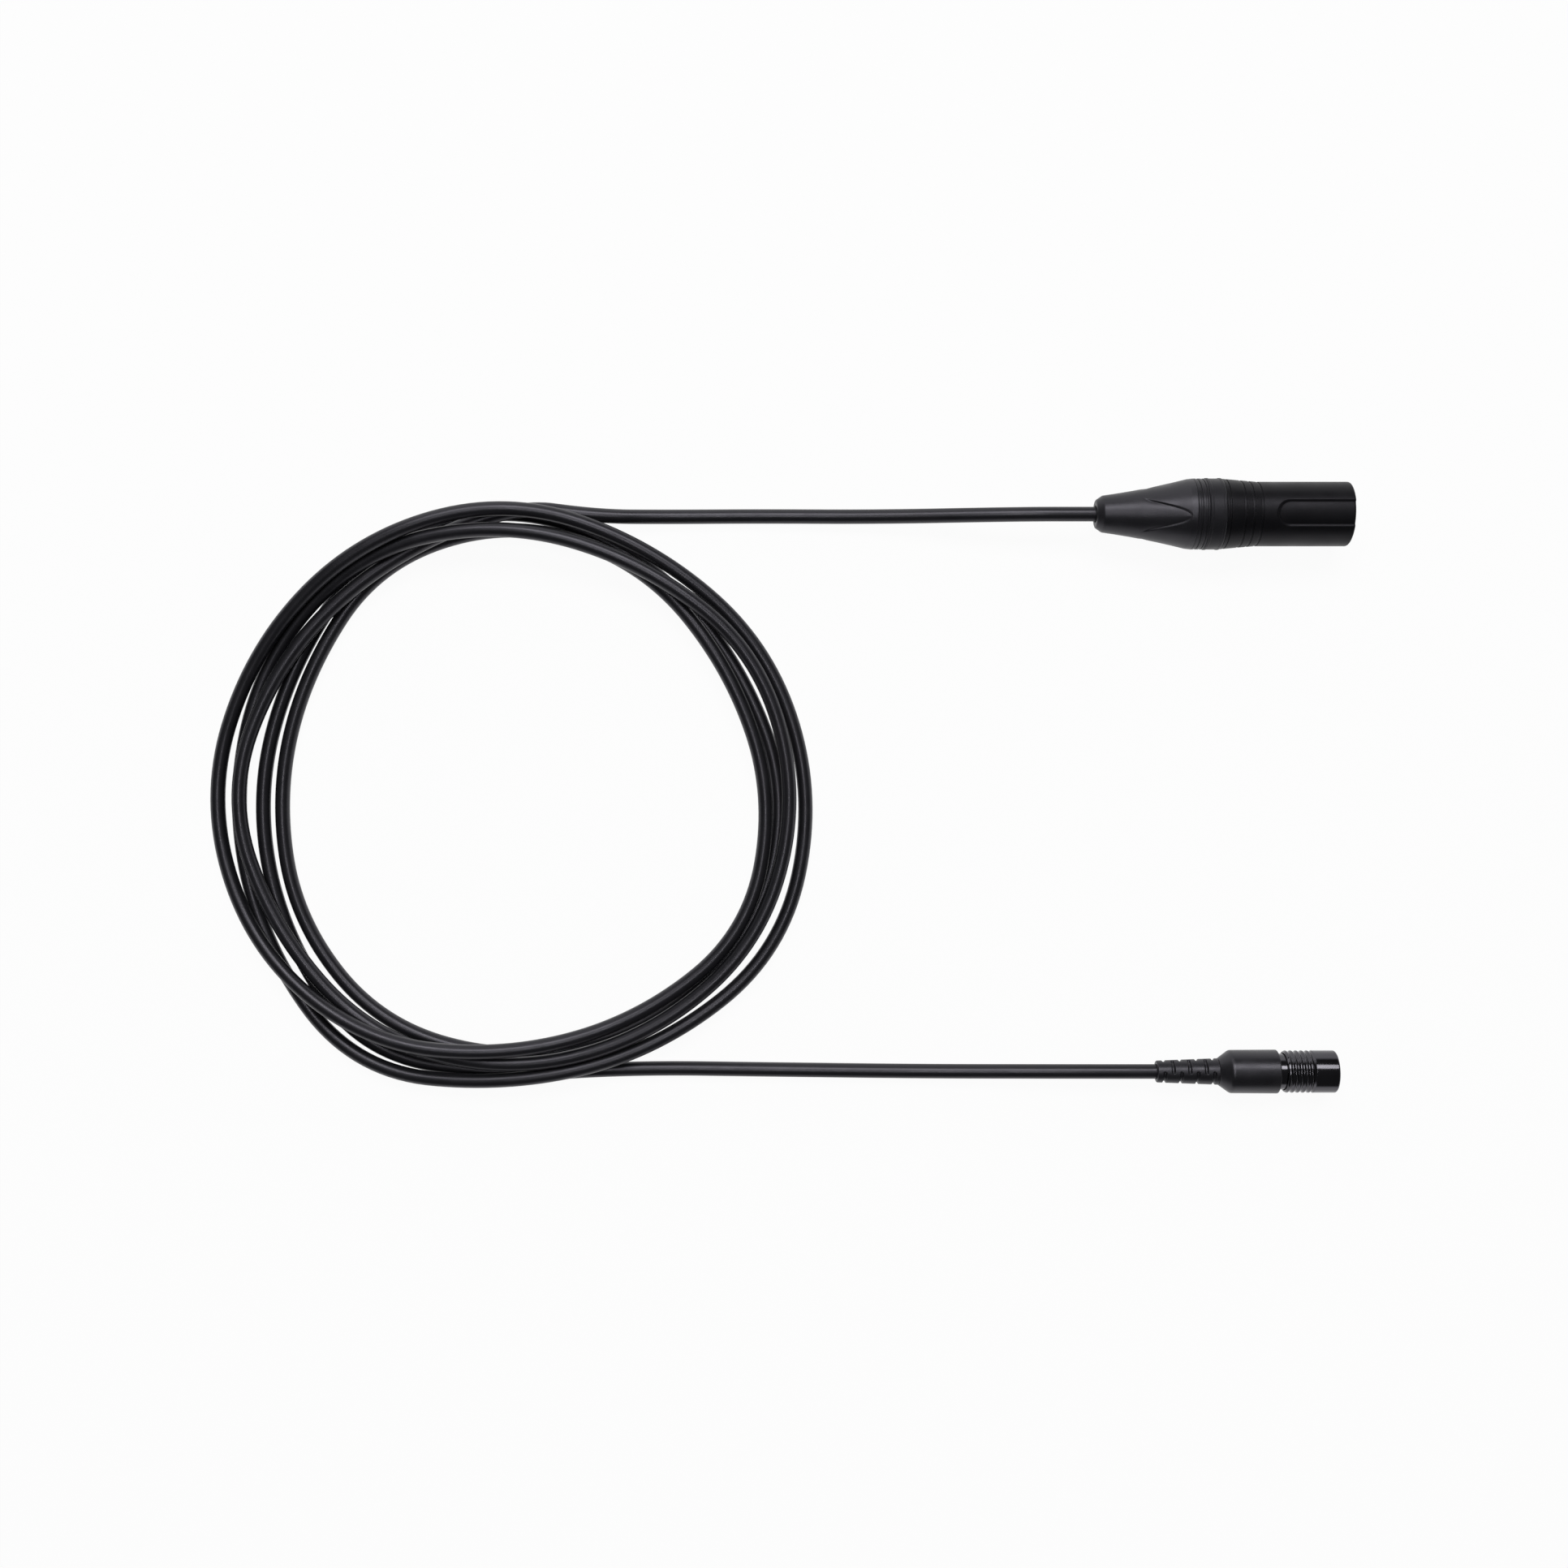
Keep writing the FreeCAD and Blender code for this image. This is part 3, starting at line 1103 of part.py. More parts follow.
# Free stretch of the small plug's cord: off the coil, along the plane, and up into the guard
small_lead_points = [
    coil_meets_lead,
    Vector(-176.0, coil_meets_lead.y, CORD / 2),
    Vector(-132.0, MINI.y - 0.1, CORD / 2),
    Vector(-88.0, MINI.y - 0.6, CORD / 2 + 0.1),
    Vector(-56.0, MINI.y - 0.2, 5.1),
    Vector(-32.0, MINI.y, MINI.z),
    Vector(MINI.x + size(CLAMP_FRONT), MINI.y, MINI.z),
]
for label, points in (("cord_lead_xlr", long_lead_points), ("cord_lead_mini", small_lead_points)):
    axis, radii = run_path(points)
    lead = doc.addObject("Part::Feature", label + "_tube")
    lead.Shape = tube(axis, CORD / 2)
    keep(lead, label)
    check_volume(label, lead.Shape, axis)
    print("  radii", [round(radius, 1) for radius in radii])
    lead_points = points_along(axis, POINT_STEP)
    clear = [(gone, point) for gone, point in coil_points
             if END_STRETCH < gone < coil_axis.Length - END_STRETCH]
    print("  gap to the coil %.2f mm" % (least_distance(lead_points, clear) - CORD))
print("whole cord %.2f m" % (sum(p.Shape.Volume for p in subparts if p.Label.startswith("cord_"))
                            / (math.pi * CORD ** 2 / 4) / 1000))

# Rebuild, check every object, and write one file for each piece
doc.recompute()
for item in doc.Objects:
    if "Invalid" in item.State or "Error" in item.State:
        raise RuntimeError("%s is %s" % (item.Name, item.State))
for piece in subparts:
    if piece.Shape.isNull() or not piece.Shape.isValid() or not piece.Shape.Solids:
        raise RuntimeError("%s has no valid solid" % piece.Label)
os.makedirs("parts", exist_ok=True)
for piece in subparts:
    piece.Shape.exportStep("parts/%s.step" % piece.Label)
print("%d pieces" % len(subparts))
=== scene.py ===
"""Looks of a loosely coiled thin audio cable with a three-pin plug and a small locking plug.

Metres, +Z up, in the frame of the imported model. Routes and outlines are written in millimetres. Each
section makes one piece, or a group of like pieces.
"""
import math

import bmesh
import bpy
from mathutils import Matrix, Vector


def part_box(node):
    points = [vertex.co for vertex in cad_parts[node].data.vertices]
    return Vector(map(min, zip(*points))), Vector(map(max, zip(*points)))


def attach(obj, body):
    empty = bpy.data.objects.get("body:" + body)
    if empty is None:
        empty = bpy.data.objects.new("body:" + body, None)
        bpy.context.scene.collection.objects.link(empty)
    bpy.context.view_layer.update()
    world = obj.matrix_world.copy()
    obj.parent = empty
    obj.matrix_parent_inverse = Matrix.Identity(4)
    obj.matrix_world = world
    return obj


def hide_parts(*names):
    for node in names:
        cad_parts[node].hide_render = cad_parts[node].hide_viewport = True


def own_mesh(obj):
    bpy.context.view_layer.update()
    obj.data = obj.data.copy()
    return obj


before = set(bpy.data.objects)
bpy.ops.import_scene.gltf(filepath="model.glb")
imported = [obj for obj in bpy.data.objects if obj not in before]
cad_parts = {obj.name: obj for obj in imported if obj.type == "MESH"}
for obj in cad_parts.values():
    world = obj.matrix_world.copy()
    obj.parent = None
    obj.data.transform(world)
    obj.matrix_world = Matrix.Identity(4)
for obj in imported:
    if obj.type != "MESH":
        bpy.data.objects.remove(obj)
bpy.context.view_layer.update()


# The cord: one thin round lead in a soft satin jacket, extruded over its screen and cores.
# It is wound by hand in four and a half loose turns, pulled straight to each plug, and lies by its weight.
mm = 0.001
micron = 0.000001
# Plastics and rubber mirror the lamps a little bluish
COOL_GLINT = (0.92, 0.89, 1, 1)
# Width of the worn patches, and the range of their pattern over which the roughness changes
WEAR_SIZE = 6 * mm
WEAR_LOW = 0.3
WEAR_HIGH = 0.7


def set_sockets(node, values):
    """Give a node's sockets their values, by name."""
    for socket, value in values.items():
        node.inputs[socket].default_value = value


def finish(name, colour, roughness, grain, grain_size=0.3 * mm, metallic=0.0, uneven=0.12, shine=0.5):
    """Material whose colour and roughness vary a little with wear, with a fine grain in its surface.

    grain is the grain's depth and grain_size its width.
    """
    made = bpy.data.materials.new(name)
    made.use_nodes = True
    nodes = made.node_tree.nodes
    link = made.node_tree.links.new
    shader = nodes["Principled BSDF"]
    set_sockets(shader, {"Metallic": metallic, "Specular IOR Level": shine})
    if not metallic:
        set_sockets(shader, {"Specular Tint": COOL_GLINT})
    place = nodes.new("ShaderNodeTexCoord")

    def noise(size, detail):
        cloud = nodes.new("ShaderNodeTexNoise")
        set_sockets(cloud, {"Scale": 1 / size, "Detail": detail})
        link(place.outputs["Object"], cloud.inputs["Vector"])
        return cloud.outputs["Fac"]

    wear = noise(WEAR_SIZE, detail=4)
    tint = nodes.new("ShaderNodeMix")
    tint.data_type = "RGBA"
    set_sockets(tint, {"A": [c * (1 - uneven) for c in colour] + [1],
                       "B": [c * (1 + uneven) for c in colour] + [1]})
    link(wear, tint.inputs["Factor"])
    link(tint.outputs["Result"], shader.inputs["Base Color"])
    dulling = nodes.new("ShaderNodeMapRange")
    set_sockets(dulling, {"From Min": WEAR_LOW, "From Max": WEAR_HIGH,
                          "To Min": roughness * (1 - uneven), "To Max": roughness * (1 + uneven)})
    link(wear, dulling.inputs["Value"])
    link(dulling.outputs["Result"], shader.inputs["Roughness"])
    bump = nodes.new("ShaderNodeBump")
    set_sockets(bump, {"Strength": 1.0, "Distance": grain})
    link(noise(grain_size, detail=3), bump.inputs["Height"])
    link(bump.outputs["Normal"], shader.inputs["Normal"])
    return made


def add_object(name, data):
    """Object that shows a mesh, curve, lamp or camera, put into the scene."""
    made = bpy.data.objects.new(name, data)
    bpy.context.scene.collection.objects.link(made)
    return made


def coat(piece, material):
    """Cover a piece, or a carried-over solid, with one material."""
    piece.data.materials.clear()
    piece.data.materials.append(material)


def dress(piece, material, body, slot, *nodes):
    """Give a piece its material and the body that it moves with, and hide the nodes that it stands for. slot
    is not used.
    """
    coat(piece, material)
    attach(piece, body)
    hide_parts(*nodes)


CORD_DIAMETER = 4.4 * mm
# Route of the free stretch from the long plug: out of the boot, down and on to the coil
LONG_STRETCH = [
    (-10.5, 81.2, 10.6), (-40.0, 81.2, 10.6), (-60.0, 81.2, 10.6), (-102.0, 81.4, 3.6),
    (-136.0, 81.8, 2.2), (-166.0, 81.6, 2.3), (-186.0, 81.2, 5.8),
]
# Route of the free stretch to the small plug
SMALL_STRETCH = [
    (-176.0, -84.8, 2.2), (-132.0, -85.4, 2.2), (-88.0, -85.9, 2.3),
    (-56.0, -85.5, 5.1), (-32.0, -85.3, 6.5), (10.45, -85.3, 6.5),
]
# The turns: reach from the coil's middle and height, at every step in degrees anticlockwise from its +Y
# side. Each block is a whole turn, and the last one half a turn
COIL_MIDDLE = (-212.0, -2.5)
TURN_START = 90
TURN_STEP = 30
TURNS = [
    (87.1, 7.1), (80.3, 6.8), (80.5, 6.9), (85.0, 7.0), (81.5, 7.1), (84.0, 6.3),
    (83.0, 8.2), (83.6, 8.0), (87.0, 6.9), (86.4, 6.5), (85.7, 8.2), (80.0, 11.7),

    (81.1, 13.2), (85.3, 10.0), (85.8, 3.6), (85.0, 2.2), (88.1, 2.2), (96.1, 2.9),
    (87.1, 7.1), (88.2, 6.0), (94.2, 2.6), (91.3, 2.2), (89.2, 3.0), (85.7, 8.0),

    (88.4, 12.7), (87.7, 13.9), (88.6, 7.5), (92.3, 3.0), (90.3, 6.3), (85.0, 11.8),
    (77.8, 10.7), (77.7, 7.3), (82.5, 6.3), (78.8, 5.6), (76.1, 6.4), (80.3, 6.6),

    (83.2, 2.9), (81.5, 2.2), (72.6, 2.8), (71.3, 2.3), (75.6, 2.2), (80.4, 2.3),
    (80.6, 2.2), (82.7, 2.2), (84.5, 2.2), (83.4, 2.2), (79.2, 2.2), (82.5, 2.2),

    (88.9, 2.2), (86.5, 2.2), (77.8, 2.3), (77.5, 2.2), (81.2, 2.2), (90.6, 2.2), (84.6, 2.2),
]


def turn_point(number, reach, height):
    """Point of the coil's route at one step of its turns."""
    angle = math.radians(TURN_START + TURN_STEP * number)
    return (COIL_MIDDLE[0] + reach * math.cos(angle), COIL_MIDDLE[1] + reach * math.sin(angle), height)


route = list(LONG_STRETCH)
route += [turn_point(number, reach, height) for number, (reach, height) in enumerate(TURNS)]
route += SMALL_STRETCH

cord_curve = bpy.data.curves.new("cord", "CURVE")
cord_curve.dimensions = "3D"
line = cord_curve.splines.new("NURBS")
line.points.add(len(route) - 1)
for point, place in zip(line.points, route):
    point.co = (place[0] * mm, place[1] * mm, place[2] * mm, 1)
line.order_u = 3
line.use_endpoint_u = True
line.resolution_u = 16
cord_curve.bevel_depth = CORD_DIAMETER / 2
cord_curve.bevel_resolution = 7
cord_curve.use_fill_caps = True
cord = add_object("cord", cord_curve)
jacket = finish("cord_jacket", colour=(0.009, 0.009, 0.0105), roughness=0.34, grain=2 * micron,
                grain_size=0.4 * mm)
dress(cord, jacket, "cable", "cord_jacket", "cord_coil", "cord_lead_xlr", "cord_lead_mini")


# Wires of both plugs: thin insulated cores, stripped from the jacket's end and soldered to the contacts.
# They lie inside the chuck and the barrel, so they keep their plain solids.
def dress_node(node, material):
    """Give a carried-over solid its material."""
    coat(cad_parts[node], material)


core_colour = finish("wire_insulation", colour=(0.30, 0.028, 0.02), roughness=0.35, grain=5 * micron)
for node in ("xlr_wires", "mini_wires"):
    dress_node(node, core_colour)


# Long plug, contacts: three turned pins, gold over nickel, pressed through the insert. Each has a solder
# cup behind and a rounded tip that leads it into its socket.
ARC_STEP = math.radians(18)
# The flat beside a round edge is held flat to this share of the edge's radius
HOLD = 0.25
# Most of a stretch that the round edge, and that hold, may take at each of its ends
EDGE_SHARE = 0.42
HOLD_SHARE = 0.05
CREASE = math.radians(40)


def rounded(corners, closed, fine, step):
    """Outline of a turned piece from its corners (along, out, radius of the edge), in millimetres.

    The stretches that leave the corners numbered in fine are split into short steps.
    """
    stations = []
    for i, (along, out, radius) in enumerate(corners):
        here = Vector((along, out))
        if radius == 0 or (not closed and i in (0, len(corners) - 1)):
            stations.append([here])
            continue
        back = Vector(corners[i - 1][:2]) - here
        ahead = Vector(corners[(i + 1) % len(corners)][:2]) - here
        turn = math.pi - back.angle(ahead)
        shorter = min(back.length, ahead.length)
        reach = min(radius * math.tan(turn / 2), EDGE_SHARE * shorter)
        radius = reach / math.tan(turn / 2)
        hold = min(HOLD * radius, HOLD_SHARE * shorter)
        back.normalize()
        ahead.normalize()
        middle = here + (back + ahead).normalized() * radius / math.cos(turn / 2)
        first = here + back * reach - middle
        last = here + ahead * reach - middle
        arc = [here + back * (reach + hold)]
        parts = max(2, math.ceil(turn / ARC_STEP))
        for k in range(parts + 1):
            share = k / parts
            across = first * math.sin((1 - share) * turn) + last * math.sin(share * turn)
            arc.append(middle + across / math.sin(turn))
        arc.append(here + ahead * (reach + hold))
        stations.append(arc)
    points = []
    for i, arc in enumerate(stations):
        points += arc
        following = stations[(i + 1) % len(stations)][0]
        if i in fine:
            parts = math.ceil((following - arc[-1]).length / step)
            points += [arc[-1].lerp(following, k / parts) for k in range(1, parts)]
    return points


def solid_piece(name, points, faces, crease):
    """Closed mesh with its faces outward, smooth where it turns by less than the crease angle."""
    mesh = bpy.data.meshes.new(name)
    mesh.from_pydata(points, [], faces)
    shape = bmesh.new()
    shape.from_mesh(mesh)
    bmesh.ops.recalc_face_normals(shape, faces=shape.faces)
    shape.to_mesh(mesh)
    shape.free()
    mesh.shade_smooth()
    mesh.set_sharp_from_angle(angle=crease)
    return add_object(name, mesh)


def turned(name, plug, corners, around, closed=True, fine=(), step=0.2, relief=None):
    """Piece that goes round a plug's axis, from its outline; relief(along, turn, out) may carve it.

    A turn is measured from the top towards +Y. An outline that isn't closed starts and ends on the axis.
    """
    outline = rounded(corners, closed, fine, step)
    ends = []
    if not closed:
        ends = [outline[0], outline[-1]]
        outline = outline[1:-1]
    points = []
    for along, out in outline:
        for k in range(around):
            turn = 2 * math.pi * k / around
            reach = relief(along, turn, out) if relief else out
            points.append((along, reach * math.sin(turn), reach * math.cos(turn)))
    faces = []
    count = len(outline)
    for i in range(count if closed else count - 1):
        near = i * around
        far = (i + 1) % count * around
        for k in range(around):
            beside = (k + 1) % around
            faces.append((near + k, near + beside, far + beside, far + k))
    for end, ring in zip(ends, (0, (count - 1) * around)):
        points.append((end.x, 0, 0))
        faces += [(len(points) - 1, ring + k, ring + (k + 1) % around) for k in range(around)]
    return solid_piece(name, [plug + Vector(point) * mm for point in points], faces, CREASE)


def axis_of(node):
    """Middle of a turned solid's rear end: the origin of its plug's own measures."""
    low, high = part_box(node)
    return Vector((low.x, (low.y + high.y) / 2, (low.z + high.z) / 2))


long_plug = axis_of("xlr_boot_skin")
plated = finish("contact_metal", colour=(0.86, 0.66, 0.34), roughness=0.16, grain=2 * micron, metallic=1.0)
PIN_RADIUS = 1.2
PIN_REAR = 40.0
PIN_FRONT = 73.6
CUP_DEPTH = 3
CUP_RADIUS = 0.75
TIP_LENGTH = 0.7
TIP_RADIUS = 0.45
for number in (1, 2, 3):
    node = "xlr_pin_%d" % number
    own_axis = axis_of(node)
    own_axis.x = long_plug.x
    pin = turned("contact_%d" % number, own_axis, [
        (PIN_REAR + CUP_DEPTH, 0, 0), (PIN_REAR + CUP_DEPTH, CUP_RADIUS, 0), (PIN_REAR, CUP_RADIUS, 0.05),
        (PIN_REAR, PIN_RADIUS, 0.1), (PIN_FRONT - TIP_LENGTH, PIN_RADIUS, 1.2), (PIN_FRONT, TIP_RADIUS, 0.5),
        (PIN_FRONT, 0, 0),
    ], around=40, closed=False)
    dress(pin, plated, "cable", "contact_metal", node)

# Long plug, insert and earth band: a black moulded disc that holds the contacts, and an open spring band
# in its side that joins the shell to earth. Both drop into the shell from behind.
moulded_black = finish("insert_plastic", colour=(0.018, 0.018, 0.019), roughness=0.42, grain=10 * micron,
                       grain_size=0.5 * mm)
dress_node("xlr_insert", moulded_black)
dress_node("xlr_earth_band", plated)

# Long plug, shell: a die-cast tube, turned with one lip groove and three grip grooves, milled with a
# shallow flute for the socket's latch, and finished in gloss black plate.
SHOULDER = 37.0
FRONT = 75.0
TAPER = 10.4
SHOULDER_RADIUS = 10.4
BARREL_RADIUS = 9.5
MOUTH_RADIUS = 8.15
MOUTH_FLOOR = 44.0
NECK_REAR = 25.0
NECK_RADIUS = 7.7
NECK_BORE = 6.6
# Rear side and width of each groove, from the front one to the lip's
GROOVES = [(47.2, 0.7), (44.65, 0.7), (42.1, 0.7), (38.0, 0.35)]
GROOVE_DEPTH = 0.32
FLUTE_REAR = 51.8
FLUTE_HALF = 4.05
FLUTE_TURN = math.radians(-6)
FLUTE_DEPTH = 0.5
FLUTE_EDGE = 0.7
# The flute touches no point deeper than this under the barrel's outside, or further round than this
FLUTE_WALL = 1.1
FLUTE_SPREAD = 1.0


def soft_step(depth, edge):
    """From 0 outside an edge to 1 this far inside it."""
    share = min(max(depth / edge, 0), 1)
    return share * share * (3 - 2 * share)


def turn_from(turn, middle):
    """How far a turn is from the middle one, at most half a turn either way."""
    return (turn - middle + math.pi) % (2 * math.pi) - math.pi


def shell_surface(along):
    """Radius of the shell: it narrows from the shoulder and then runs straight."""
    return BARREL_RADIUS + (SHOULDER_RADIUS - BARREL_RADIUS) * max(0, 1 - (along - SHOULDER) / TAPER)


def flute(along, turn, out):
    """Lowers the shell's outside to the flute's floor: round at the rear and open at the rim."""
    off = turn_from(turn, FLUTE_TURN)
    if along < FLUTE_REAR or out < BARREL_RADIUS - FLUTE_WALL or abs(off) > FLUTE_SPREAD:
        return out
    across = BARREL_RADIUS * math.sin(off)
    behind = min(0, along - FLUTE_REAR - FLUTE_HALF)
    inside = FLUTE_HALF - math.hypot(behind, across)
    return out - FLUTE_DEPTH * soft_step(inside, FLUTE_EDGE)


groove_corners = []
for rear, width in GROOVES:
    front = rear + width
    floor_radius = shell_surface(rear + width / 2) - GROOVE_DEPTH
    groove_corners += [(front, shell_surface(front), 0.12), (front, floor_radius, 0.08),
                       (rear, floor_radius, 0.08), (rear, shell_surface(rear), 0.12)]
shell = turned("shell", long_plug, [
    (FRONT, MOUTH_RADIUS, 0.35), (FRONT, BARREL_RADIUS, 0.9), *groove_corners,
    (SHOULDER, SHOULDER_RADIUS, 0.25), (SHOULDER, NECK_RADIUS, 0.1), (NECK_REAR, NECK_RADIUS, 0.3),
    (NECK_REAR, NECK_BORE, 0.1), (MOUTH_FLOOR, NECK_BORE, 0.1), (MOUTH_FLOOR, MOUTH_RADIUS, 0.1),
], around=288, fine=(0, 1), step=0.25, relief=flute)
black_plate = finish("black_metal", colour=(0.0032, 0.0032, 0.0038), roughness=0.42, grain=1.5 * micron,
                     grain_size=0.6 * mm, shine=0.22)
dress(shell, black_plate, "cable", "black_metal", "xlr_shell")

# Long plug, chuck: a slit collet, moulded in black plastic and pushed in behind the insert. The boot's cone
# closes its jaws on the jacket as the boot is screwed on.
dress_node("xlr_chuck", moulded_black)

# Long plug, coding ring: a satin plastic ring, clipped loosely between the shell and the boot. Two raised
# rims border its band, which is bare.
RING_REAR = 32.0
RING_BORE = 8.0
RING_END_RADIUS = 10.42
RIM_RADIUS = 10.6
BAND_RADIUS = 10.46
# Where each rim rises, where it ends and where the band starts, from the rim's own end of the ring
REAR_RIM = (0.3, 0.85, 1.0)
FRONT_RIM = (0.35, 0.9, 1.05)
ring = turned("coding_ring", long_plug, [
    (RING_REAR, RING_BORE, 0.1), (RING_REAR, RING_END_RADIUS, 0.15),
    (RING_REAR + REAR_RIM[0], RIM_RADIUS, 0.15), (RING_REAR + REAR_RIM[1], RIM_RADIUS, 0.12),
    (RING_REAR + REAR_RIM[2], BAND_RADIUS, 0.1), (SHOULDER - FRONT_RIM[2], BAND_RADIUS, 0.1),
    (SHOULDER - FRONT_RIM[1], RIM_RADIUS, 0.12), (SHOULDER - FRONT_RIM[0], RIM_RADIUS, 0.15),
    (SHOULDER, RING_END_RADIUS, 0.15), (SHOULDER, RING_BORE, 0.1),
], around=128)
ring_plastic = finish("ring_plastic", colour=(0.013, 0.013, 0.015), roughness=0.42, grain=12 * micron,
                      grain_size=0.5 * mm, shine=0.25)
dress(ring, ring_plastic, "coding_ring", "ring_plastic", "xlr_coding_ring")

# Long plug, boot bushing: the hard inside of the boot, moulded in glass-filled plastic. Its thread turns
# on the shell's neck, and its grooved collar shows between the ring and the soft skin.
SKIN_END = 28.6
RING_GAP = 0.03
BUSHING_FRONT = RING_REAR - RING_GAP
COLLAR_RADIUS = 10.45
COLLAR_GROOVES = (29.35, 30.85)
COLLAR_GROOVE_WIDTH = 0.6
COLLAR_GROOVE_DEPTH = 0.4
THREAD_RADIUS = 8.0
JAW_FRONT_RADIUS = 6.45
JAW_REAR = 11.0
JAW_REAR_RADIUS = 4.25
CORD_HOLE = 2.55
# Outside of the bushing's cone, which the skin is moulded on
CONE_REAR = 8.0
CONE_REAR_RADIUS = 4.6
CONE_FRONT = 24.7
CONE_FRONT_RADIUS = 8.65
SKIN_SEAT = 9.5
collar_corners = []
for rear in COLLAR_GROOVES:
    front = rear + COLLAR_GROOVE_WIDTH
    floor_radius = COLLAR_RADIUS - COLLAR_GROOVE_DEPTH
    collar_corners += [(rear, COLLAR_RADIUS, 0.12), (rear, floor_radius, 0.1),
                       (front, floor_radius, 0.1), (front, COLLAR_RADIUS, 0.12)]
bushing = turned("boot_bushing", long_plug, [
    (CONE_REAR, CORD_HOLE, 0), (CONE_REAR, CONE_REAR_RADIUS, 0), (CONE_FRONT, CONE_FRONT_RADIUS, 0),
    (SKIN_END, SKIN_SEAT, 0), (SKIN_END, COLLAR_RADIUS, 0.1), *collar_corners,
    (BUSHING_FRONT, COLLAR_RADIUS, 0.15), (BUSHING_FRONT, THREAD_RADIUS, 0.1),
    (CONE_FRONT, THREAD_RADIUS, 0), (CONE_FRONT, JAW_FRONT_RADIUS, 0), (JAW_REAR, JAW_REAR_RADIUS, 0),
    (JAW_REAR, CORD_HOLE, 0),
], around=128)
hard_plastic = finish("boot_plastic", colour=(0.012, 0.012, 0.0138), roughness=0.36, grain=10 * micron,
                      grain_size=0.5 * mm, shine=0.35)
dress(bushing, hard_plastic, "boot", "boot_plastic", "xlr_boot_bushing")

# Long plug, boot skin: a soft rubber sleeve moulded over the bushing, hollow-sided. Three tongues lie a
# little lower than the cone round them, each with S-shaped sides that meet in a point at the front.
WAIST = 26.8
WAIST_RADIUS = 10.25
SIDE_REAR = 2.0
REAR_RADIUS = 5.45
END_RADIUS = 4.1
HOLLOW = 0.36
SIDE_STATIONS = (22.8, 18.6, 14.4, 10.2, 6.0)
# Points deeper than this under the side belong to the skin's inside
SKIN_WALL = 0.3
TONGUE_TURNS = [math.radians(-11.5 + 120 * k) for k in range(3)]
TONGUE_LENGTH = 14.4
TONGUE_HALF = 5.7
TONGUE_NARROWING = 3.95
# The tongue's root is wider by this much, which fades over this share of its length
ROOT_FLARE = 0.9
ROOT_FADE = 0.06
# The higher, the nearer to the front do the sides turn in to meet in the point
POINT_BLUNTNESS = 12
TONGUE_DROP = 0.42
TONGUE_EDGE = 0.5
# Share of the length over which the step fades in
STEP_FADE = 0.3
# Share of the drop that is left far from the edge, and how soon the floor rises to it
MIDDLE_DROP = 0.45
MIDDLE_RISE = 1.2


def boot_surface(along):
    """Radius of the skin before its tongues: a cone that is hollow by HOLLOW at its middle."""
    share = (along - SIDE_REAR) / (WAIST - SIDE_REAR)
    straight = REAR_RADIUS + (WAIST_RADIUS - REAR_RADIUS) * share
    return straight - 4 * HOLLOW * share * (1 - share)


def tongues(along, turn, out):
    """Lowers the skin's outside inside each tongue."""
    share = (along - WAIST + TONGUE_LENGTH) / TONGUE_LENGTH
    if not 0 < share < 1 or out < boot_surface(along) - SKIN_WALL:
        return out
    half = TONGUE_HALF - TONGUE_NARROWING * share + ROOT_FLARE * math.exp(-share / ROOT_FADE)
    half *= math.sqrt(1 - share ** POINT_BLUNTNESS)
    drop = 0
    for middle in TONGUE_TURNS:
        inside = half - abs(turn_from(turn, middle)) * out
        floor_share = MIDDLE_DROP + (1 - MIDDLE_DROP) * math.exp(-max(0, inside - TONGUE_EDGE) / MIDDLE_RISE)
        step = soft_step(inside, TONGUE_EDGE) * soft_step(share, STEP_FADE)
        drop = max(drop, TONGUE_DROP * step * floor_share)
    return out - drop


side = [(along, boot_surface(along), 0) for along in SIDE_STATIONS]
skin = turned("boot_skin", long_plug, [
    (SKIN_END, SKIN_SEAT, 0), (SKIN_END, COLLAR_RADIUS, 0.2), (WAIST, WAIST_RADIUS, 2.0), *side,
    (SIDE_REAR, REAR_RADIUS, 0.9), (0, END_RADIUS, 0.7), (0, CORD_HOLE, 0.3), (CONE_REAR, CORD_HOLE, 0),
    (CONE_REAR, CONE_REAR_RADIUS, 0), (CONE_FRONT, CONE_FRONT_RADIUS, 0),
], around=336, fine=range(1, 9), step=0.15, relief=tongues)
soft_rubber = finish("boot_rubber", colour=(0.009, 0.009, 0.0105), roughness=0.4, grain=20 * micron,
                     grain_size=0.35 * mm, shine=0.52)
dress(skin, soft_rubber, "boot", "boot_rubber", "xlr_boot_skin")

# Small plug, clamp and ferrule: two turned brass rings inside the body. The slit clamp grips the jacket
# against the barrel's rear end, and the ferrule is crimped over the screen.
brass = finish("clamp_brass", colour=(0.70, 0.52, 0.24), roughness=0.25, grain=4 * micron, metallic=1.0)
for node in ("mini_clamp", "mini_ferrule"):
    dress_node(node, brass)

# Small plug, insert and contacts: a disc moulded in black plastic, with four plated contacts pressed
# through it. The disc is pressed into the barrel.
dress_node("mini_insert", moulded_black)
dress_node("mini_contacts", plated)

# Small plug, barrel: a turned brass tube in black chrome, screwed into the body. Its neck shows between
# the body and the lock sleeve. An open steel clip sits on it, under the sleeve.
black_chrome = finish("sleeve_metal", colour=(0.085, 0.083, 0.092), roughness=0.15, grain=0.2 * micron,
                      grain_size=0.6 * mm, metallic=1.0, uneven=0.1)
dress_node("mini_barrel", black_chrome)
spring_steel = finish("spring_steel", colour=(0.45, 0.45, 0.46), roughness=0.24, grain=3 * micron,
                      metallic=1.0)
dress_node("mini_retaining_clip", spring_steel)

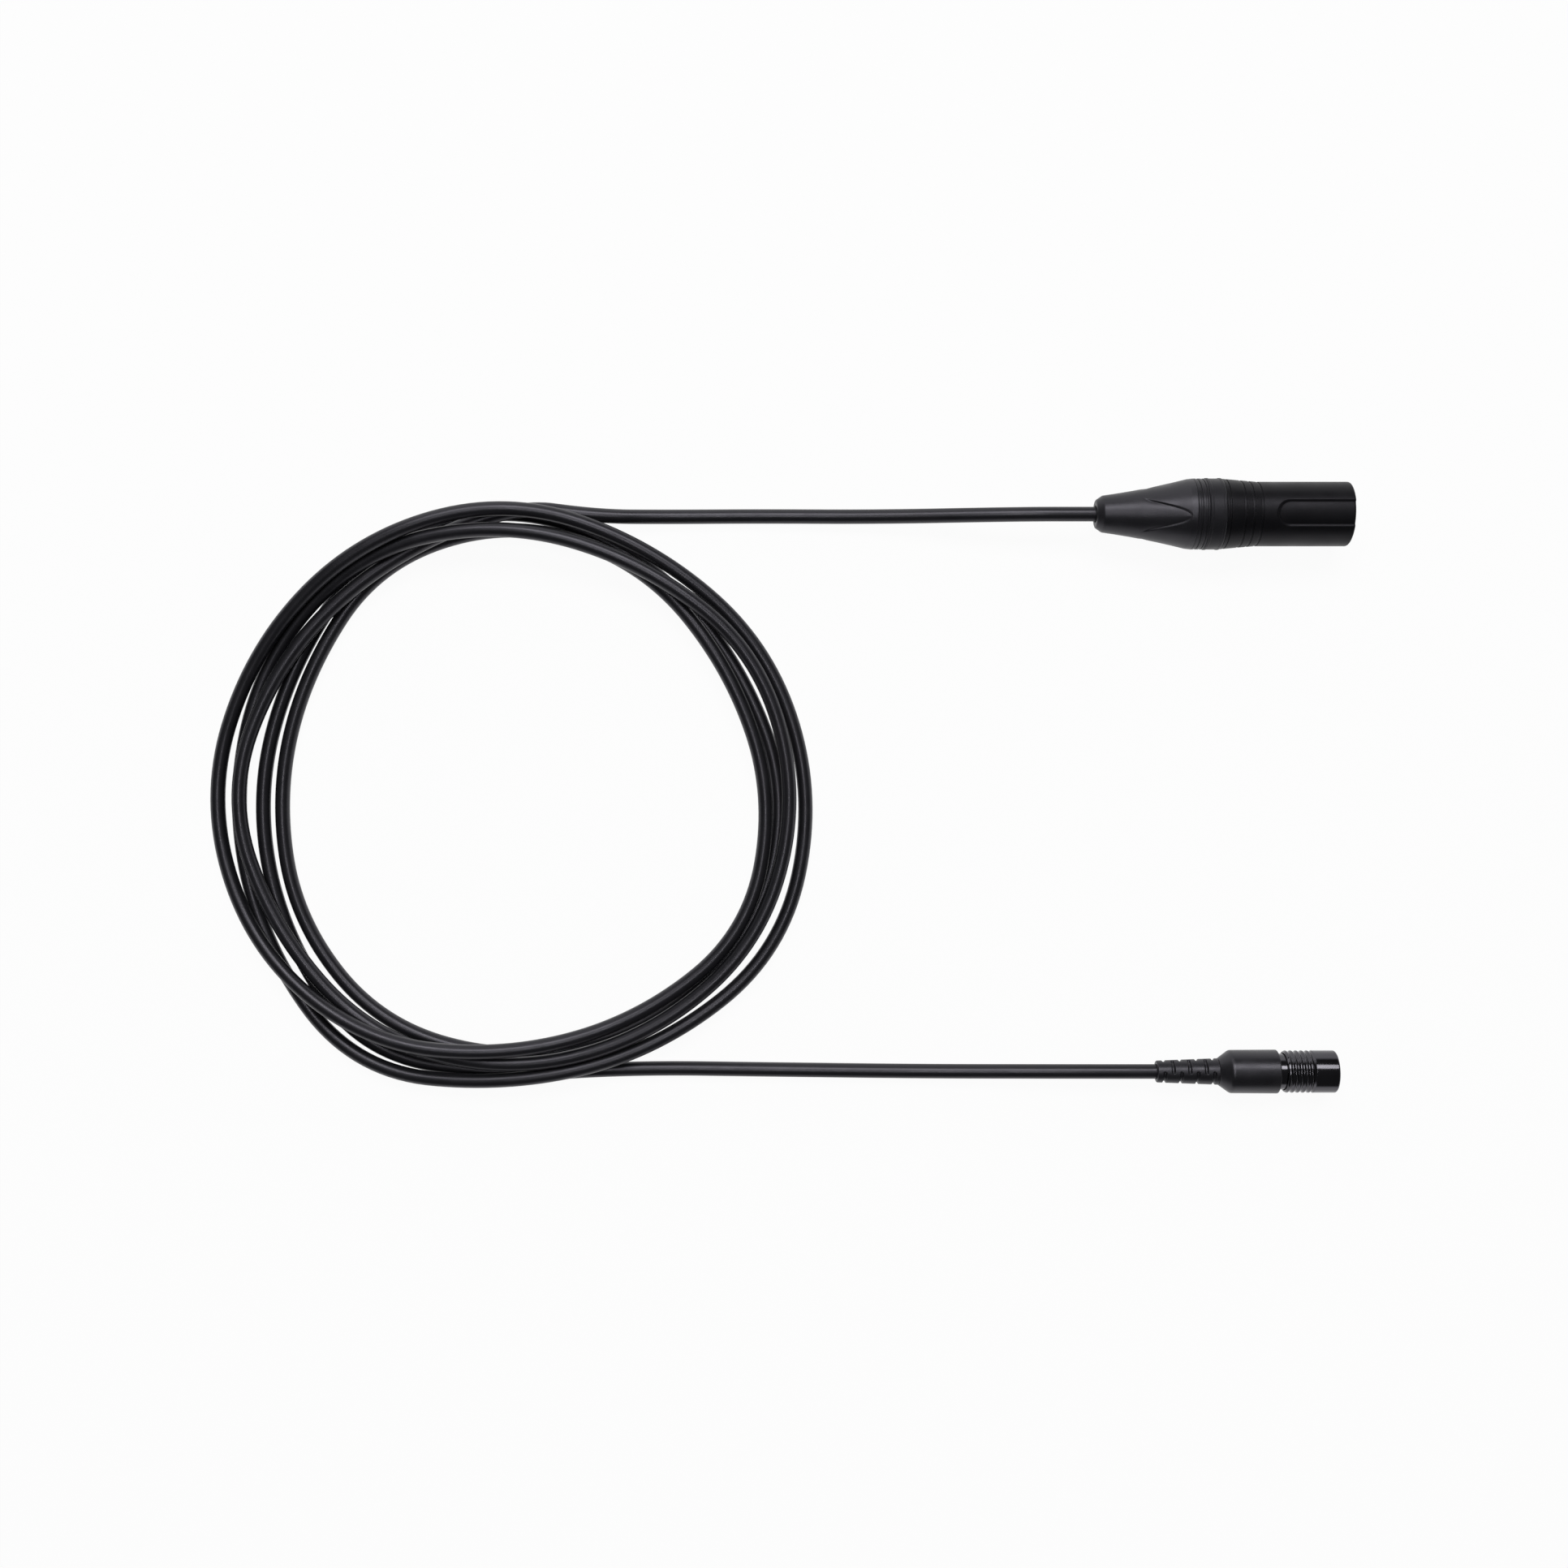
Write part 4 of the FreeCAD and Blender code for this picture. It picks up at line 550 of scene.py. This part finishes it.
# Small plug, spring of the lock sleeve: four turns of round wire, held between the barrel's step and the
# sleeve's inner land, which presses it together as the sleeve is drawn back.
WIRE_RADIUS = 0.225 * mm
SPRING_TURNS = 4
STEPS_IN_TURN = 36
SIDES = 10
SPRING_CREASE = math.radians(60)
spring_axis = axis_of("mini_lock_spring")
low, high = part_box("mini_lock_spring")
spring_length = high.x - low.x
coil_radius = (high.z - low.z) / 2 - WIRE_RADIUS
onward = Vector((1, 0, 0))
points = []
faces = []
steps = SPRING_TURNS * STEPS_IN_TURN
for i in range(steps + 1):
    turn = 2 * math.pi * i / STEPS_IN_TURN
    outward = Vector((0, math.cos(turn), math.sin(turn)))
    along = WIRE_RADIUS + (spring_length - 2 * WIRE_RADIUS) * i / steps
    centre = spring_axis + onward * along + outward * coil_radius
    for k in range(SIDES):
        side_turn = 2 * math.pi * k / SIDES
        points.append(centre + WIRE_RADIUS * (math.cos(side_turn) * outward + math.sin(side_turn) * onward))
        if i:
            beside = (k + 1) % SIDES
            near = (i - 1) * SIDES
            faces.append((near + SIDES + k, near + SIDES + beside, near + beside, near + k))
faces.append(range(SIDES))
faces.append(range((steps + 1) * SIDES - 1, steps * SIDES - 1, -1))
lock_spring = solid_piece("lock_spring", points, faces, SPRING_CREASE)
dress(lock_spring, spring_steel, "cable", "spring_steel", "mini_lock_spring")
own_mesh(lock_spring)

# Small plug, lock sleeve: turned brass in black chrome with round finger ribs and a plain front band.
# It slides back on the barrel against its spring to release the plug.
small_plug = axis_of("mini_cord_guard")
SLEEVE_REAR = 38.15
SLEEVE_REAR_RADIUS = 5.95
SLEEVE_FRONT = 53.55
SLEEVE_RADIUS = 6.3
SLEEVE_BORE = 5.55
MOUTH_BORE = 5.5
FRONT_CHAMFER = (0.35, 0.25)
# The inner land that holds the spring
LAND_REAR = 46.55
LAND_FRONT = 48.45
LAND_RADIUS = 4.6
RIB_PITCH = 1.62
FIRST_CREST = 40.42
RIB_DEPTH = 0.42
RIBS_END = 46.1
RIB_STEPS = 64
BAND_REAR = RIBS_END + 0.5


def rib(along):
    """Radius of the ribbed stretch: round crests, one in each pitch."""
    return SLEEVE_RADIUS - RIB_DEPTH * math.sin(math.pi * (along - FIRST_CREST) / RIB_PITCH) ** 2


rib_line = []
for k in range(RIB_STEPS + 1):
    along = RIBS_END - (RIBS_END - FIRST_CREST + RIB_PITCH) * k / RIB_STEPS
    rib_line.append((along, rib(along), 0))
sleeve = turned("lock_sleeve", small_plug, [
    (SLEEVE_FRONT, MOUTH_BORE, 0.2), (SLEEVE_FRONT, SLEEVE_RADIUS - FRONT_CHAMFER[1], 0.2),
    (SLEEVE_FRONT - FRONT_CHAMFER[0], SLEEVE_RADIUS, 0.3), (BAND_REAR, SLEEVE_RADIUS, 0.15), *rib_line,
    (SLEEVE_REAR, SLEEVE_REAR_RADIUS, 0.2), (SLEEVE_REAR, SLEEVE_BORE, 0.1), (LAND_REAR, SLEEVE_BORE, 0),
    (LAND_REAR, LAND_RADIUS, 0), (LAND_FRONT, LAND_RADIUS, 0), (LAND_FRONT, MOUTH_BORE, 0),
], around=128)
dress(sleeve, black_chrome, "lock_sleeve", "sleeve_metal", "mini_lock_sleeve")

# Small plug, body: a satin shell moulded in hard plastic, threaded on the barrel. It flares from the
# guard to its full width and has a soft front edge.
BODY_FRONT = 36.15
BODY_RADIUS = 6.5
BODY_BORE = 5.8
FLARE_FRONT = (21.9, 6.42)
FLARE_REAR = (18.5, 3.98)
BODY_REAR = 18.42
GUARD_HOLE = 3.4
# The guard's flange, and the seat that holds it in the body
FLANGE_REAR = 22.5
FLANGE_FRONT = 24.0
FLANGE_RADIUS = 4.6
SEAT_RADIUS = 4.65
body = turned("small_body", small_plug, [
    (BODY_FRONT, BODY_BORE, 0.1), (BODY_FRONT, BODY_RADIUS, 0.45), (*FLARE_FRONT, 1.6), (*FLARE_REAR, 1.2),
    (BODY_REAR, GUARD_HOLE, 0.05), (FLANGE_REAR, GUARD_HOLE, 0), (FLANGE_REAR, SEAT_RADIUS, 0),
    (FLANGE_FRONT, SEAT_RADIUS, 0), (FLANGE_FRONT, BODY_BORE, 0),
], around=128)
satin_plastic = finish("body_plastic", colour=(0.008, 0.008, 0.0092), roughness=0.35, grain=14 * micron,
                       grain_size=0.4 * mm, shine=0.6)
dress(body, satin_plastic, "cable", "body_plastic", "mini_body")

# Small plug, cord guard: a soft tapered sleeve, its flange held in the body's rear end. Round-ended slots
# let it bend: long ones most of the way round, and short ones between them across the web that is left.
GUARD_LENGTH = 18.4
GUARD_REAR_RADIUS = 3.25
GUARD_FRONT_RADIUS = 3.94
GUARD_NECK = 3.38
GUARD_BORE = 2.22
# Points nearer to the axis than this belong to the guard's bore
GUARD_INSIDE = 3
SLOT_HALF = 0.62
SLOT_DEPTH = 0.58
SLOT_EDGE = 0.42
SLOT_PITCH = 4.9
FIRST_LONG_SLOT = 2.25
FIRST_SHORT_SLOT = 4.7
# The turn that a slot's middle faces, and how far it goes round to each side
LONG_SLOT = (math.radians(-142), math.radians(151))
SHORT_SLOT = (math.radians(38), math.radians(44))
SLOTS = [(FIRST_LONG_SLOT + SLOT_PITCH * k, *LONG_SLOT) for k in range(4)]
SLOTS += [(FIRST_SHORT_SLOT + SLOT_PITCH * k, *SHORT_SLOT) for k in range(3)]


def slotted(along, turn, out):
    """Lowers the guard's outside to the slots' floor."""
    if along > GUARD_LENGTH or out < GUARD_INSIDE:
        return out
    reach = out
    for middle, facing, half_turn in SLOTS:
        if abs(along - middle) > SLOT_HALF:
            continue
        past = max(0, (abs(turn_from(turn, facing)) - half_turn) * out + SLOT_HALF)
        inside = SLOT_HALF - math.hypot(along - middle, past)
        reach = min(reach, out - SLOT_DEPTH * soft_step(inside, SLOT_EDGE))
    return reach


guard = turned("cord_guard", small_plug, [
    (GUARD_LENGTH, GUARD_FRONT_RADIUS, 0), (0, GUARD_REAR_RADIUS, 0.5), (0, GUARD_BORE, 0.15),
    (FLANGE_FRONT, GUARD_BORE, 0), (FLANGE_FRONT, FLANGE_RADIUS, 0.1), (FLANGE_REAR, FLANGE_RADIUS, 0),
    (FLANGE_REAR, GUARD_NECK, 0), (GUARD_LENGTH, GUARD_NECK, 0),
], around=192, fine=(0,), step=0.1, relief=slotted)
guard_rubber = finish("guard_rubber", colour=(0.01, 0.01, 0.0115), roughness=0.38, grain=15 * micron,
                      grain_size=0.4 * mm)
dress(guard, guard_rubber, "cable", "guard_rubber", "mini_cord_guard")

# Floor: one large sheet of pale paper, laid flat under the object. It glows where the camera sees it or the
# object mirrors it, so that it comes out nearly white.
FLOOR_HALF = 3.0
PAPER_GLOW = 0.95
floor_mesh = bpy.data.meshes.new("floor")
floor_corners = [(x * FLOOR_HALF, y * FLOOR_HALF, 0) for x, y in ((-1, -1), (1, -1), (1, 1), (-1, 1))]
floor_mesh.from_pydata(floor_corners, [], [(0, 1, 2, 3)])
floor = add_object("floor", floor_mesh)
paper = bpy.data.materials.new("paper")
paper.use_nodes = True
paper_nodes = paper.node_tree.nodes
paper_link = paper.node_tree.links.new
paper_shader = paper_nodes["Principled BSDF"]
set_sockets(paper_shader, {"Base Color": (0.88, 0.88, 0.88, 1), "Roughness": 0.9, "Specular IOR Level": 0.0})
glow = paper_nodes.new("ShaderNodeEmission")
set_sockets(glow, {"Color": (1, 1, 1, 1)})
rays = paper_nodes.new("ShaderNodeLightPath")
blend = paper_nodes.new("ShaderNodeMixShader")
seen = rays.outputs["Is Camera Ray"]
for kind in ("Is Glossy Ray", "Is Transmission Ray"):
    either = paper_nodes.new("ShaderNodeMath")
    either.operation = "MAXIMUM"
    paper_link(seen, either.inputs[0])
    paper_link(rays.outputs[kind], either.inputs[1])
    seen = either.outputs["Value"]
share = paper_nodes.new("ShaderNodeMath")
share.operation = "MULTIPLY"
share.inputs[1].default_value = PAPER_GLOW
paper_link(seen, share.inputs[0])
paper_link(share.outputs["Value"], blend.inputs["Fac"])
paper_link(paper_shader.outputs["BSDF"], blend.inputs[1])
paper_link(glow.outputs["Emission"], blend.inputs[2])
paper_link(blend.outputs["Shader"], paper_nodes["Material Output"].inputs["Surface"])
floor_mesh.materials.append(paper)

# Room: a plain studio round the floor. It is pale at the height of the floor and dim overhead, so that
# the black pieces keep dark tops.
world = bpy.data.worlds.new("room")
bpy.context.scene.world = world
world.use_nodes = True
room_nodes = world.node_tree.nodes
room_link = world.node_tree.links.new
heading = room_nodes.new("ShaderNodeTexCoord")
rise = room_nodes.new("ShaderNodeSeparateXYZ")
room_link(heading.outputs["Generated"], rise.inputs["Vector"])
dimming = room_nodes.new("ShaderNodeMapRange")
dimming.interpolation_type = "SMOOTHSTEP"
set_sockets(dimming, {"From Min": 0.0, "From Max": 0.25, "To Min": 0.9, "To Max": 0.07})
room_link(rise.outputs["Z"], dimming.inputs["Value"])
room_link(dimming.outputs["Result"], room_nodes["Background"].inputs["Strength"])
set_sockets(room_nodes["Background"], {"Color": (0.97, 0.98, 1, 1)})


# Lamps: a long soft box high on the +Y side, a lower one to the left of it like a window, and a narrow
# strip overhead. The camera doesn't see them.
def soft_box(name, place, target, length, width, brightness):
    """Rectangular lamp that looks at a target; its length runs along X."""
    lamp = bpy.data.lights.new(name, "AREA")
    lamp.shape = "RECTANGLE"
    lamp.size = length
    lamp.size_y = width
    lamp.energy = brightness * math.pi * length * width
    stand = add_object(name, lamp)
    stand.location = place
    stand.rotation_euler = (Vector(target) - Vector(place)).to_track_quat("-Z", "Y").to_euler()
    stand.visible_camera = False


soft_box("main_light", place=(-0.08, 1.2, 1.84), target=(-0.08, 0, 0), length=1.65, width=0.8,
         brightness=6.5)
soft_box("side_window", place=(-0.55, 1.6, 0.55), target=(-0.1, 0, 0), length=1.3, width=0.7,
         brightness=1.2)
soft_box("ceiling_strip", place=(-0.16, 0.06, 1.84), target=(-0.16, 0.06, 0), length=0.12, width=0.8,
         brightness=16)

# Camera: it looks straight down on the object, as in the photograph, through a normal lens. Its height
# over the floor and its lens were fitted to the usual size of the long plug.
CAMERA_HEIGHT = 0.540
camera_data = bpy.data.cameras.new("camera")
camera_data.sensor_width = 36.0
camera_data.lens = 40.85
camera_data.clip_start = 0.01
camera = add_object("camera", camera_data)
camera.location = (-0.13005, 0.0009, CAMERA_HEIGHT)
bpy.context.scene.camera = camera
bpy.context.scene.view_settings.view_transform = "Standard"
